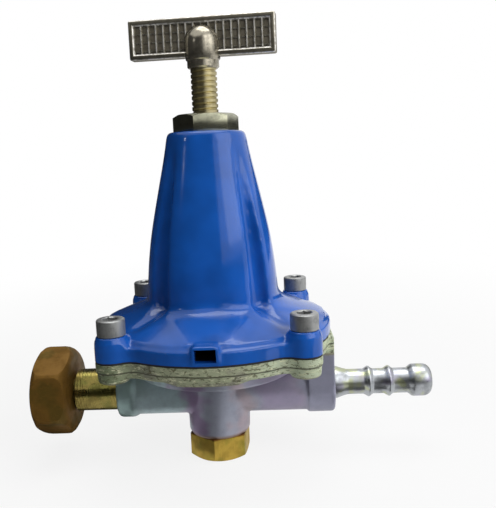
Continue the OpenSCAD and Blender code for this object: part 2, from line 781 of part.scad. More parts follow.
// Sunk grip panel on one face of the bar, without its ribs
module grip_panel() {
    w = bar_l - 2 * bar_rim;
    h = bar_h - 2 * bar_rim;
    columns = floor(w / rib_pitch);
    row_h = h / rib_rows;
    difference() {
        translate([-w / 2, bar_t / 2 - bar_recess, -h / 2]) cube([w, bar_recess + 1, h]);
        for (i = [1:columns - 1])
            translate([(i - columns / 2) * rib_pitch - rib_w / 2, bar_t / 2 - 2 * bar_recess, -h])
                cube([rib_w, 1.6 * bar_recess, 2 * h]);
        for (i = [1:rib_rows - 1])
            translate([-w, bar_t / 2 - 2 * bar_recess, i * row_h - h / 2 - rib_w / 2])
                cube([2 * w, 1.6 * bar_recess, rib_w]);
    }
}

// Cast T-handle: flat bar with sunk grip panels, round boss and neck
module t_handle() {
    bore_h = screw_end_z - handle_z + 1;
    color("#8d8675") difference() {
        union() {
            translate([0, 0, bar_z]) rotate(bar_turn) difference() {
                cube([bar_l, bar_t, bar_h], center = true);
                for (face = [0, 180]) rotate(face) grip_panel();
            }
            translate([0, 0, handle_z]) rotate_extrude() polygon([
                [0, 0], [neck_r - 0.6, 0], [neck_r, 0.6], [neck_r, neck_h],
                [hub_r, neck_h + 1.6], [hub_r, hub_rise], [0, hub_rise]
            ]);
            translate([0, 0, handle_z + hub_rise]) sphere(r = hub_r);
        }
        translate([0, 0, handle_z - 1]) cylinder(r = adj_r + running_gap, h = bore_h + 1);
    }
}

// One socket-head cap screw, with its underside of the head at z = 0
module cap_screw() {
    color("#8f9095") difference() {
        union() {
            rotate_extrude() polygon([
                [0, 0], [screw_head_r, 0], [screw_head_r, screw_head_h - 0.5],
                [screw_head_r - 0.5, screw_head_h], [0, screw_head_h]
            ]);
            translate([0, 0, -screw_l]) cylinder(r = screw_r, h = screw_l);
        }
        translate([0, 0, screw_head_h - socket_depth])
            cylinder(r = socket_af / sqrt(3), h = socket_depth + 1, $fn = 6);
    }
}

module placed_cap_screw(ear) {
    translate([ear[1] * screw_spacing / 2, ear[2] * screw_spacing / 2, screw_seat_z])
        cap_screw();
}

// Brass hexagon adaptor screwed into the inlet boss
module inlet_adaptor() {
    color("#b8923a") along_port(-1) difference() {
        union() {
            translate([0, 0, inlet_face_x]) rotate(90 + adaptor_turn)
                turned_hexagon(adaptor_af, adaptor_l, high = adaptor_chamfer);
            translate([0, 0, inlet_face_x - port_thread_l])
                cylinder(r = port_thread_r, h = port_thread_l);
        }
        translate([0, 0, inlet_face_x - port_thread_l - 1])
            cylinder(r = bore_r, h = port_thread_l + adaptor_l + 2);
        translate([0, 0, adaptor_end - nipple_thread_l - 0.5])
            cylinder(r = nipple_thread_r + thread_gap, h = nipple_thread_l + 1);
    }
}

// Brass nipple: thread, neck that the nut turns on, collar and nose
module inlet_nipple() {
    color("#c2a04a") along_port(-1) difference() {
        union() {
            translate([0, 0, adaptor_end - nipple_thread_l])
                cylinder(r = nipple_thread_r, h = nipple_thread_l);
            translate([0, 0, adaptor_end]) cylinder(r = nipple_neck_r, h = collar_back - adaptor_end);
            translate([0, 0, collar_back]) cylinder(r = collar_r, h = collar_t);
            translate([0, 0, collar_face]) cylinder(r = nose_r, h = nose_l);
        }
        translate([0, 0, adaptor_end - nipple_thread_l - 1])
            cylinder(r = bore_r, h = nipple_thread_l + nose_end - adaptor_end + 2);
        translate([0, 0, collar_face]) cylinder(r = filter_r, h = nose_l + 1);
    }
}

// Sintered filter in the nipple's nose
module inlet_filter() {
    color("#8a6d3b") along_port(-1) translate([0, 0, collar_face])
        cylinder(r = filter_r - thread_gap, h = nose_l - 0.4);
}

// Fibre sealing washer on the nipple's nose
module inlet_washer() {
    color("#7a2f27") along_port(-1) translate([0, 0, collar_face]) difference() {
        cylinder(r = collar_r - 0.1, h = inlet_washer_t);
        translate([0, 0, -1]) cylinder(r = nose_r + thread_gap, h = inlet_washer_t + 2);
    }
}

// Brass union nut, which turns freely on the nipple's neck
module union_nut() {
    corner = union_af / sqrt(3);
    mouth = 1.2;
    color("#a37f2f") along_port(-1) difference() {
        intersection() {
            translate([0, 0, union_back]) rotate(union_turn) cylinder(r = corner, h = union_l, $fn = 6);
            translate([0, 0, union_back]) rotate_extrude() polygon([
                [0, 0], [corner - union_corner, 0], [corner - 0.3 * union_corner, 0.3 * union_corner],
                [corner + eps, union_corner], [corner + eps, union_l - union_corner],
                [corner - 0.3 * union_corner, union_l - 0.3 * union_corner],
                [corner - union_corner, union_l], [0, union_l]
            ]);
        }
        translate([0, 0, union_back - 1]) cylinder(r = union_neck_r, h = union_l);
        translate([0, 0, union_back + union_back_t])
            cylinder(r = union_thread_r, h = union_l);
        translate([0, 0, union_back + union_back_t])
            cylinder(r = relief_r, h = washer_face - union_back - union_back_t + end_gap);
        translate([0, 0, union_mouth - mouth])
            cylinder(r1 = union_thread_r, r2 = union_thread_r + mouth, h = mouth + eps);
    }
}

// Hose barb: thread, tapered foot, ridged tube and round-nosed bulb
module hose_barb() {
    bulb_x = barb_end - bulb_l;
    nose = 3.4;
    ridges = [
        for (i = [0:ridge_count - 1]) let (x = ridge_x + i * ridge_pitch)
            each [[barb_tube_r, x - ridge_l / 2], [ridge_r, x], [ridge_r, x + 0.5],
                  [barb_tube_r, x + ridge_l / 2]]
    ];
    color("#b6b8bf") along_port(1) translate([0, 0, outlet_face_x]) difference() {
        union() {
            translate([0, 0, -port_thread_l]) cylinder(r = port_thread_r, h = port_thread_l);
            rotate_extrude() polygon(concat(
                [[0, 0], [barb_foot_r, 0], [barb_foot_r, 1.2], [barb_tube_r, barb_foot_l]],
                ridges,
                [
                    [barb_tube_r, bulb_x], [bulb_r, bulb_x + 1.8]
                ],
                [
                    for (a = [0:15:90])
                        [barb_bore_r + (bulb_r - barb_bore_r) * cos(a),
                         barb_end - nose + nose * sin(a)]
                ],
                [[0, barb_end]]
            ));
        }
        translate([0, 0, -port_thread_l - 1])
            cylinder(r = barb_bore_r, h = port_thread_l + barb_end + 2);
    }
}

body_casting();
bottom_plug();
plug_seal();
valve_seat();
seat_seal();
valve_poppet();
valve_pad();
valve_spring();
diaphragm();
diaphragm_washer();
diaphragm_plate();
centre_bolt();
centre_nut();
main_spring();
upper_spring_seat();
bonnet();
bonnet_bush();
adjusting_screw();
t_handle();
for (ear = ears) placed_cap_screw(ear);
inlet_adaptor();
inlet_nipple();
inlet_filter();
inlet_washer();
union_nut();
hose_barb();
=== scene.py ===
import json
from contextlib import contextmanager
from math import acos, atan2, cos, pi, radians, sin, sqrt

import bmesh
import bpy
from bpy.props import FloatProperty, FloatVectorProperty, IntProperty, PointerProperty
from mathutils import Euler, Matrix, Vector


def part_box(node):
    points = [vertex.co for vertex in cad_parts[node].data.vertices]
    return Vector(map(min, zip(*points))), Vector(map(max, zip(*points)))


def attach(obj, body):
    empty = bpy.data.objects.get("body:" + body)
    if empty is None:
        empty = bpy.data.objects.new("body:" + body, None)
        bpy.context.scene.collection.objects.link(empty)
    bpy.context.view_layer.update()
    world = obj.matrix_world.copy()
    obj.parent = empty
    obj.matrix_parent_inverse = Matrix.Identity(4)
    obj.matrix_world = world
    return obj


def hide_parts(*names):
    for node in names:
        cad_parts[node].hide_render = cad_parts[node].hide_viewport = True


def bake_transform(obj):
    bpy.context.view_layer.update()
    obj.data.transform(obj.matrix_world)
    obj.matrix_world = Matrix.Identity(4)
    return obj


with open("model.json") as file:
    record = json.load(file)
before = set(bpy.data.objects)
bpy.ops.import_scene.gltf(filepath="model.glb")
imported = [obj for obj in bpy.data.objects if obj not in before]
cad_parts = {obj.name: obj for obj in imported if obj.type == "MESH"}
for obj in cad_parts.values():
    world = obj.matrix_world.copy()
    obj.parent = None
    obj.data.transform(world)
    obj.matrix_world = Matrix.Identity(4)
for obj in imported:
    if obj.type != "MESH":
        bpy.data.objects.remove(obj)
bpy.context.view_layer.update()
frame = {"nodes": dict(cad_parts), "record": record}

bl_info = {
    "name": "Gas regulator",
    "version": (1, 0, 0),
    "blender": (4, 5, 0),
    "location": "View3D > Sidebar > Gas regulator",
    "description": "Dresses the gas regulator's solids with finished pieces and a studio",
    "category": "Object",
}

MM = 0.001


def reach(node):
    """Lowest and highest corner of a node at rest, in millimetres."""
    low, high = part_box(node)
    return low / MM, high / MM


JOINT_Z = reach("bonnet")[0].z
CASTING_TOP = reach("body_casting")[1].z
FOOT_Z = reach("body_casting")[0].z
BONNET_TOP = reach("bonnet")[1].z
PORT_Z = (reach("union_nut")[0].z + reach("union_nut")[1].z) / 2
EAR = (reach("cap_screw_front_right")[0].x + reach("cap_screw_front_right")[1].x) / 2
EARS = [Vector((x * EAR, y * EAR, 0)) for x, y in ((-1, -1), (1, -1), (1, 1), (-1, 1))]
# In millimetres: the casting's port faces, the spanner width of bush and plug, the height of
# a cap screw's head and the radius of the bores round the adjusting screw
INLET_FACE, OUTLET_FACE = -39.5, 46.5
SPANNER, HEAD, SCREW_BORE = 22, 6.0, 5.06
UP, OUT, IN = Vector((0, 0, 1)), Vector((1, 0, 0)), Vector((-1, 0, 0))


# Sizes and colours

def length(name, description, default, low, high):
    """Length property, with its default and limits given in millimetres."""
    return FloatProperty(name=name, description=description, default=default * MM,
                         min=low * MM, max=high * MM, unit="LENGTH")


def hue(name, description, default):
    return FloatVectorProperty(name=name, description=description, default=default,
                               size=3, min=0, max=1, subtype="COLOR")


def power(name, description, default):
    return FloatProperty(name=name, description=description, default=default, min=0,
                         unit="POWER")


class BonnetSizes(bpy.types.PropertyGroup):
    foot_radius: length(
        "Cone foot radius", "Radius of the lobed cone where it meets the skirt", 25.6, 20, 30)
    top_radius: length(
        "Cone top radius", "Radius of the lobed cone at its shoulder", 15.2, 10, 20)
    groove_radius: length(
        "Groove radius", "Radius of the grooves between the lobes at their foot", 4.3, 2, 6)
    grain: length(
        "Casting grain", "Size of the mesh that the cast surface is made of", 0.5, 0.4, 2)
    enamel: hue(
        "Enamel", "Colour of the enamel on the bonnet", (0.007, 0.080, 0.37))


class CastingSizes(bpy.types.PropertyGroup):
    grain: length(
        "Casting grain", "Size of the mesh that the cast surface is made of", 0.5, 0.4, 2)
    zinc: hue(
        "Zinc", "Colour of the passivated zinc on the casting's body", (0.35, 0.37, 0.45))
    flange: hue(
        "Flange edge", "Colour of the rough yellow-green flange edge", (0.31, 0.34, 0.22))


class HandleSizes(bpy.types.PropertyGroup):
    turn: FloatProperty(
        name="Turn", description="Turn of the bar about the adjusting screw",
        default=radians(-7.3), unit="ROTATION")
    columns: IntProperty(
        name="Grip columns", description="Number of sunk cells along the bar",
        default=18, min=4, max=30)
    row: length(
        "Grip row height", "Distance between the low ribs along the bar", 3.2, 1, 6)
    rim: length(
        "Rim width", "Width of the raised rim round the grip panels", 1.55, 1, 3)
    nickel: hue(
        "Nickel", "Colour of the nickel plate on the handle", (0.37, 0.34, 0.27))


class ScrewSizes(bpy.types.PropertyGroup):
    pitch: length(
        "Thread pitch", "Pitch of the adjusting screw's thread", 2, 0.5, 3)
    depth: length(
        "Thread depth", "Depth of the adjusting screw's thread", 0.5, 0.2, 1.5)
    plate: hue(
        "Yellow plate", "Colour of the yellow passivation on the screw", (0.48, 0.42, 0.24))
    bush: hue("Bush plate", "Colour of the plate on the hexagon bush", (0.37, 0.37, 0.27))
    steel: hue(
        "Steel", "Colour of the plated cap screws", (0.31, 0.315, 0.31))


class PortSizes(bpy.types.PropertyGroup):
    nut_pitch: length(
        "Union thread pitch", "Pitch of the thread in the union nut", 25.4 / 14, 1, 3)
    nut: hue(
        "Nut brass", "Colour of the union nut", (0.19, 0.098, 0.017))
    plug: hue(
        "Plug brass", "Colour of the bottom plug", (0.50, 0.34, 0.06))
    adaptor: hue("Adaptor brass", "Colour of the inlet adaptor", (0.26, 0.205, 0.06))
    barb: hue(
        "Barb plate", "Colour of the zinc plate on the hose barb", (0.43, 0.45, 0.47))


class StudioSettings(bpy.types.PropertyGroup):
    ambient: FloatProperty(
        name="Ambient light", description="Strength of the light from all round",
        default=0.12, min=0, max=1)
    key: power(
        "Key light", "Power of the tall soft light on the right", 5.0)
    fill: power(
        "Fill light", "Power of the light from the right that has no reflection", 14.0)
    top: power(
        "Top light", "Power of the soft light overhead", 8.6)
    edge: power(
        "Edge light", "Power of the narrow light on the left", 0.16)
    floor: hue(
        "Floor", "Colour of the floor and backdrop", (0.62, 0.62, 0.62))


# Modelling, with lengths in millimetres

def pick(*pieces):
    """Select only these pieces, and make the first one active."""
    bpy.ops.object.select_all(action="DESELECT")
    for piece in pieces:
        piece.select_set(True)
    bpy.context.view_layer.objects.active = pieces[0]


@contextmanager
def editing(piece):
    """Edit a piece's mesh, with all of it selected at first."""
    pick(piece)
    bpy.ops.object.mode_set(mode="EDIT")
    bpy.ops.mesh.select_mode(type="VERT")
    bpy.ops.mesh.select_all(action="SELECT")
    yield
    bpy.ops.object.mode_set(mode="OBJECT")


def choose(kind, test):
    """Select only the verts, edges or faces of the edited mesh that pass the test."""
    bpy.ops.mesh.select_mode(type={"verts": "VERT", "edges": "EDGE", "faces": "FACE"}[kind])
    bpy.ops.mesh.select_all(action="DESELECT")
    mesh = bpy.context.edit_object.data
    for item in getattr(bmesh.from_edit_mesh(mesh), kind):
        if test(item):
            item.select_set(True)
    bmesh.update_edit_mesh(mesh)


def added(name):
    """Name the primitive that was just added, and apply its place."""
    piece = bpy.context.object
    piece.name = piece.data.name = name
    settle(piece)
    return piece


def settle(piece):
    """Apply a piece's place, turn and scale to its mesh."""
    pick(piece)
    bpy.ops.object.transform_apply(location=True, rotation=True, scale=True)


def block(name, low, high):
    low, high = Vector(low) * MM, Vector(high) * MM
    bpy.ops.mesh.primitive_cube_add(size=1, location=(low + high) / 2, scale=high - low)
    return added(name)


def rod(name, start, end, r0, r1=None, sides=64):
    """Round or tapered bar from start to end."""
    start, end = Vector(start) * MM, Vector(end) * MM
    way = end - start
    bpy.ops.mesh.primitive_cone_add(
        vertices=sides, radius1=r0 * MM, radius2=(r0 if r1 is None else r1) * MM,
        depth=way.length, location=(start + end) / 2,
        rotation=way.to_track_quat("Z", "Y").to_euler())
    return added(name)


def hexagon(name, across_flats, low, high, turn, rounding=0):
    """Upright hexagon bar, with a corner at this turn in degrees."""
    piece = rod(name, (0, 0, low), (0, 0, high), across_flats / sqrt(3), sides=6)
    if rounding:
        with editing(piece):
            choose("edges", lambda edge: abs(edge.verts[0].co.z - edge.verts[1].co.z) > MM)
            bpy.ops.mesh.bevel(offset=rounding * MM, segments=6, affect="EDGES")
    return turned_by(piece, radians(turn - 30))


def chain(name, points):
    """One vertex drawn on into an open line of edges through the points."""
    points = [Vector(point) * MM for point in points]
    bpy.ops.mesh.primitive_plane_add(size=MM, location=points[0])
    piece = added(name)
    with editing(piece):
        bpy.ops.mesh.merge(type="CENTER")
        for here, there in zip(points, points[1:]):
            bpy.ops.mesh.extrude_region_move(TRANSFORM_OT_translate={"value": there - here})
    return piece


def tidy(piece):
    """Merge doubles and turn all faces outwards."""
    with editing(piece):
        bpy.ops.mesh.remove_doubles(threshold=1e-6)
        bpy.ops.mesh.normals_make_consistent(inside=False)


def turned(name, profile, sides=72, place=(0, 0, 0), axis=UP):
    """Lathe work: a profile of (radius, height) turned about an axis through a place."""
    piece = chain(name, [(r, 0, z) for r, z in profile])
    with editing(piece):
        bpy.ops.mesh.spin(steps=sides, angle=2 * pi, center=(0, 0, 0), axis=(0, 0, 1))
    tidy(piece)
    aim(piece, place, axis)
    return piece


def aim(piece, place, axis):
    """Carry a piece made about the Z axis to another axis and place."""
    piece.rotation_euler = Vector(axis).to_track_quat("Z", "Y").to_euler()
    piece.location = Vector(place) * MM
    settle(piece)


def prism(name, outline, low, high):
    """Flat outline raised from one height to another."""
    piece = chain(name, [(x, y, low) for x, y in outline])
    with editing(piece):
        bpy.ops.mesh.edge_face_add()
        bpy.ops.mesh.extrude_region_move(
            TRANSFORM_OT_translate={"value": (0, 0, (high - low) * MM)})
    tidy(piece)
    return piece


def shape(piece, kind, **settings):
    """Add a modifier to a piece and apply it."""
    pick(piece)
    bpy.ops.object.modifier_add(type=kind)
    modifier = piece.modifiers[-1]
    for key, value in settings.items():
        setattr(modifier, key, value)
    bpy.ops.object.modifier_apply(modifier=modifier.name)


def ease(piece, width, angle, segments=2):
    """Break the edges that are sharper than an angle in degrees."""
    shape(piece, "BEVEL", width=width * MM, segments=segments, limit_method="ANGLE",
          angle_limit=radians(angle))


def combine(operation, piece, *tools):
    """Boolean work with closed tools, which are used up."""
    for tool in tools:
        shape(piece, "BOOLEAN", operation=operation, solver="MANIFOLD", object=tool)
        bpy.data.objects.remove(tool)


def cut(piece, *tools):
    combine("DIFFERENCE", piece, *tools)


def weld(piece, *tools):
    combine("UNION", piece, *tools)


def keep(piece, *tools):
    combine("INTERSECT", piece, *tools)


def joined(name, *pieces):
    """Several meshes as one, without welding them."""
    pick(*pieces)
    bpy.ops.object.join()
    pieces[0].name = pieces[0].data.name = name
    return pieces[0]


def copied(piece, name):
    pick(piece)
    bpy.ops.object.duplicate()
    return added(name)


def stood_up(piece, place):
    """Tip a piece's outline from level to upright, facing -Y, and carry it to a place."""
    piece.rotation_euler = Euler((pi / 2, 0, 0))
    piece.location = Vector(place) * MM
    settle(piece)


def turned_by(piece, angle):
    """Turn a piece about the Z axis."""
    piece.rotation_euler = Euler((0, 0, angle))
    settle(piece)
    return piece


def around(piece):
    """The piece and its three copies, a quarter turn apart."""
    others = [turned_by(copied(piece, f"{piece.name}_{i}"), i * pi / 2) for i in (1, 2, 3)]
    return [piece] + others


def cast(piece, grain, rounds):
    """Melt a rough build of overlapping parts into one skin with soft inner corners."""
    shape(piece, "REMESH", mode="VOXEL", voxel_size=grain, adaptivity=0)
    shape(piece, "SMOOTH", factor=0.5, iterations=rounds)


def face_off(piece, height, keep_above, threshold=1e-7):
    """Cut a piece flat at a height and close it there."""
    with editing(piece):
        bpy.ops.mesh.bisect(
            plane_co=(0, 0, height * MM), plane_no=(0, 0, 1), use_fill=True,
            threshold=threshold, clear_inner=keep_above, clear_outer=not keep_above)


def threaded(name, root_r, crest_r, pitch, low, high, place, axis, flat=0.12):
    """Closed screw thread between two heights on an axis, with crests flat over a share of it."""
    line = chain(name, [
        (root_r, 0, low - pitch), (crest_r, 0, low - (0.5 + flat / 2) * pitch),
        (crest_r, 0, low - (0.5 - flat / 2) * pitch), (root_r, 0, low - 0.12 * pitch),
        (root_r, 0, low)])
    turns = int((high - low) / pitch) + 2
    shape(line, "SCREW", angle=2 * pi, screw_offset=pitch * MM, iterations=turns, steps=40,
          render_steps=40, use_merge_vertices=True, merge_threshold=1e-6)
    with editing(line):
        bpy.ops.mesh.remove_doubles(threshold=1e-6)
        bpy.ops.mesh.fill_holes(sides=0)
    face_off(line, low, keep_above=True, threshold=1e-4)
    face_off(line, high, keep_above=False, threshold=1e-4)
    tidy(line)
    aim(line, place, axis)
    return line


def coated(piece, finish, angle):
    """Smooth a piece up to an angle in degrees and give it its finish."""
    pick(piece)
    bpy.ops.object.shade_smooth_by_angle(angle=radians(angle))
    piece.data.materials.clear()
    piece.data.materials.append(finish)


def finished(piece, body, slot, finish, *nodes, angle=35):
    """Finish a piece and hand it to its body."""
    coated(piece, finish, angle)
    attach(piece, body)
    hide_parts(*nodes)


# Finishes

class Wire:
    """A socket's value, so that shader maths reads as an expression."""

    def __init__(self, finish, socket):
        self.finish = finish
        self.socket = socket

    def maths(self, operation, *values):
        return self.finish.node("ShaderNodeMath", {"operation": operation},
                                dict(enumerate((self, *values))))

    def __add__(self, other): return self.maths("ADD", other)
    def __radd__(self, other): return self.maths("ADD", other)
    def __sub__(self, other): return self.maths("SUBTRACT", other)
    def __rsub__(self, other): return (self * -1).maths("ADD", other)
    def __mul__(self, other): return self.maths("MULTIPLY", other)
    def __rmul__(self, other): return self.maths("MULTIPLY", other)
    def __truediv__(self, other): return self.maths("DIVIDE", other)
    def __pow__(self, other): return self.maths("POWER", other)
    def __abs__(self): return self.maths("ABSOLUTE")

    def ramp(self, low, high):
        """0 below low, 1 above high and smooth between."""
        return self.finish.node("ShaderNodeMapRange", {"interpolation_type": "SMOOTHSTEP"},
                                {"Value": self, "From Min": low, "From Max": high})

    def held(self):
        return self.finish.node("ShaderNodeClamp", {}, {"Value": self})


class Nodes:
    """A node tree that is built with wires."""

    def __init__(self, tree):
        self.tree = tree

    def node(self, kind, settings=None, sockets=None, output=0):
        """Add a node, set it and feed its sockets with numbers, colours or wires."""
        node = self.tree.nodes.new(kind)
        for key, value in (settings or {}).items():
            setattr(node, key, value)
        for key, value in (sockets or {}).items():
            self.feed(node.inputs[key], value)
        return Wire(self, node.outputs[output])

    def feed(self, socket, value):
        if isinstance(value, Wire):
            self.tree.links.new(value.socket, socket)
        elif socket.type == "RGBA" and len(value) == 3:
            socket.default_value = (*value, 1)
        else:
            socket.default_value = value

    def rays(self, *kinds):
        """1 for rays of these kinds and 0 for all others."""
        path = self.tree.nodes.new("ShaderNodeLightPath")
        first, *others = [Wire(self, path.outputs[f"Is {kind} Ray"]) for kind in kinds]
        return sum(others, first).held()


class Finish(Nodes):
    """A node-based material on object coordinates."""

    def __init__(self, name, **shader):
        self.material = bpy.data.materials.new(name)
        self.material.use_nodes = True
        super().__init__(self.material.node_tree)
        self.shader = self.tree.nodes["Principled BSDF"]
        self.place = self.node("ShaderNodeTexCoord", output="Object")
        for key, value in shader.items():
            name = key.replace("_", " ").title().replace("Ior", "IOR")
            self.shader.inputs[name].default_value = value

    def moved(self, scale=(1, 1, 1), turn=(0, 0, 0), shift=(0, 0, 0)):
        return self.node("ShaderNodeMapping", {}, {
            "Vector": self.place, "Scale": scale, "Rotation": turn, "Location": shift})

    def noise(self, grain, detail=3, stretch=(1, 1, 1), shift=(0, 0, 0), roughness=0.5):
        """Cloudy pattern whose patches are about grain millimetres across."""
        return self.node("ShaderNodeTexNoise", {}, {
            "Vector": self.moved(stretch, shift=shift), "Scale": 1 / (grain * MM),
            "Detail": detail, "Roughness": roughness})

    def along(self, axis, place=None):
        """Position along X, Y or Z, in millimetres."""
        return self.node("ShaderNodeSeparateXYZ", {}, {0: place or self.place}, output=axis) * 1000

    def mix(self, share, low, high):
        """Colour between two colours."""
        return self.node("ShaderNodeMix", {"data_type": "RGBA"}, {0: share, 6: low, 7: high},
                         output=2)

    def layered(self, ground, *layers):
        """Colour under layers of (share, colour), laid on one after another."""
        for share, colour in layers:
            ground = self.mix(share, ground, colour)
        return ground

    def patches(self, size, at, low, high, detail=2):
        """1 inside the patches of a cloudy pattern that is shifted by at, 0 outside."""
        return self.noise(size, detail=detail, shift=at).ramp(low, high)

    def colour(self, value):
        self.feed(self.shader.inputs["Base Color"], value)

    def rough(self, value):
        self.feed(self.shader.inputs["Roughness"], value)

    def metal(self, value):
        self.feed(self.shader.inputs["Metallic"], value)

    def relief(self, height, distance, strength=1.0):
        """Raise the surface by up to distance millimetres where height is 1."""
        bump = self.node("ShaderNodeBump", {}, {
            "Height": height, "Distance": distance * MM, "Strength": strength})
        self.feed(self.shader.inputs["Normal"], bump)


def tint(colour, factor):
    return tuple(min(1, part * factor) for part in colour)


def enamel(colour):
    """Glossy blue enamel over a cast surface."""
    finish = Finish("blue_enamel", coat_roughness=0.03, specular_ior_level=0.4)
    cloud = finish.noise(14, detail=2)
    finish.colour(finish.mix(cloud.ramp(0.35, 0.7), tint(colour, 0.86), tint(colour, 1.12)))
    finish.rough(0.11 + 0.08 * finish.noise(4, detail=4))
    finish.feed(finish.shader.inputs["Coat Weight"], 0.15)
    finish.relief(finish.noise(2.6, detail=2) + 0.3 * finish.noise(0.7, detail=2), 0.02, 0.5)
    return finish.material


def zinc(colour, edge_colour):
    """Passivated zinc: iridescent stains and a band of painted light on the body, rough and
    yellow-green with painted shade and light on the flange.
    """
    finish = Finish("zinc_casting")
    height = finish.along(2)
    wave = finish.noise(5, detail=2) - 0.5
    flange = (height + 1.6 * wave).ramp(CASTING_TOP - 8.0, CASTING_TOP - 6.8)
    side = finish.along(0) + 16 * (finish.noise(9, detail=2, shift=(0.013, 0.002, 0)) - 0.5)
    green = 1 - side.ramp(-36, -30) * 0.2 - side.ramp(-18, -12) * 0.8
    purple = side.ramp(-15, -10) * (1 - side.ramp(-8, -3)) * 1.2 + side.ramp(12, 20) * 0.7
    pink = side.ramp(4, 9) * (1 - side.ramp(11, 15)) + side.ramp(28, 36) * 0.5
    stain = finish.noise(4, detail=5, roughness=0.65).ramp(0.35, 0.75)
    foot = 1 - (height + 0.8 * wave).ramp(FOOT_Z + 0.3, FOOT_Z + 1.8)
    body = finish.layered(
        colour, (green * 0.8, (0.27, 0.41, 0.37)),
        # painted light: a lighter, bluer band on the inlet tube, brightening it where it lies in
        # the shade of nut and flange
        (side.ramp(-34, -22) * (1 - side.ramp(-17, -12)), (0.40, 0.52, 0.55)),
        (purple * 0.8, (0.29, 0.21, 0.35)), (pink * 0.6, (0.45, 0.33, 0.34)),
        (side.ramp(30, 36) * 0.7, (0.27, 0.30, 0.40)), (stain * 0.35, tint(colour, 0.6)),
        (foot * 0.75, (0.20, 0.10, 0.03)))
    streak = finish.noise(0.8, detail=4, stretch=(0.25, 0.25, 1), roughness=0.75)
    pits = finish.noise(0.9, detail=4, shift=(0.3, 0, 0), stretch=(0.5, 0.5, 1), roughness=0.7)
    line = CASTING_TOP - 3.1 + 1.1 * (finish.noise(9, detail=2, shift=(0.2, 0, 0)) - 0.5)
    parting = 1 - abs(height - line).ramp(0.10, 0.42)
    # painted shadow: a brownish band along the underside of the flange edge
    under = 1 - height.ramp(CASTING_TOP - 7.2, CASTING_TOP - 6.2)
    edge = finish.layered(
        edge_colour, (finish.noise(6, detail=2).ramp(0.42, 0.62) * 0.7, (0.22, 0.21, 0.17)),
        # painted shade: the flange edge darker and greener towards the left, where less light
        # falls
        ((1 - side.ramp(-40, -14)) * 0.85, (0.12, 0.16, 0.08)),
        # painted light: the flange edge lighter towards the right, where the light falls
        (side.ramp(6, 26) * 0.6, (0.50, 0.58, 0.41)),
        (streak.ramp(0.52, 0.66), (0.60, 0.60, 0.40)),
        (pits.ramp(0.52, 0.62) * 0.85, (0.08, 0.08, 0.04)),
        # the dark parting line, then the painted shadow along the flange's underside
        (parting * 0.85, (0.05, 0.05, 0.03)), (under * 0.7, (0.16, 0.11, 0.09)))
    finish.colour(finish.mix(flange, body, edge))
    finish.metal(0.5 - 0.3 * flange)
    finish.rough(0.40 + 0.12 * stain + 0.12 * flange)
    rough = streak * (0.2 + flange) + 0.6 * finish.noise(6, detail=3)
    finish.relief(rough - 0.8 * flange * parting, 0.16, 0.8)
    return finish.material


def brass(name, colour, roughness, wear, marks=(1, 1, 1), depth=0.02, seam=None, bare=1.0):
    """Machined brass, bare or dulled, with olive and brown stains, tool marks and a rusty seam."""
    finish = Finish(name, metallic=bare, specular_ior_level=0.2 if bare < 1 else 0.5)
    olive = (0.62 * colour[0], 0.78 * colour[1], 0.7 * colour[2])
    stain = finish.noise(6, detail=5, roughness=0.6).ramp(0.42, 0.70)
    lines = finish.noise(0.45, detail=2, stretch=marks)
    tone = finish.layered(
        colour, (finish.patches(9, (0.05, 0, 0), 0.46, 0.62) * 0.8, olive),
        (stain * wear, tint(colour, 0.42)), (lines.ramp(0.52, 0.8) * 0.4, tint(colour, 1.35)))
    if seam is not None:
        ragged = finish.along(2) + 1.4 * (finish.noise(3, detail=3, shift=(0.3, 0, 0)) - 0.5)
        tone = finish.mix(ragged.ramp(seam - 0.9, seam - 0.2) * 0.85, tone, (0.12, 0.035, 0.01))
    finish.colour(tone)
    finish.rough(roughness + 0.18 * stain + 0.08 * lines)
    finish.relief(lines + finish.noise(2.2), depth, 0.7)
    return finish.material


def steel(name, colour, roughness, stains=0.5, lengthwise=(1, 1, 1), bare=1.0, hues=0):
    """Plated steel, bright or dulled, slightly mottled and with the hues of passivation."""
    finish = Finish(name, metallic=bare)
    cloud = finish.noise(3.5, detail=4, roughness=0.6)
    lines = finish.noise(0.4, detail=2, stretch=lengthwise)
    tone = finish.mix(cloud.ramp(0.45, 0.7) * stains, colour, tint(colour, 0.5))
    if hues:
        yellow = finish.patches(5, (0.07, 0.01, 0), 0.50, 0.66, detail=1)
        violet = finish.patches(6, (0.02, 0.05, 0), 0.52, 0.68, detail=1)
        tone = finish.layered(tone, (yellow * hues, (0.48, 0.52, 0.16)),
                              (violet * hues, (0.34, 0.30, 0.44)))
    finish.colour(finish.mix(lines.ramp(0.45, 0.8) * 0.35, tone, tint(colour, 1.3)))
    finish.rough(roughness + 0.15 * cloud + 0.06 * lines)
    finish.relief(cloud + 0.5 * lines, 0.02, 0.6)
    return finish.material


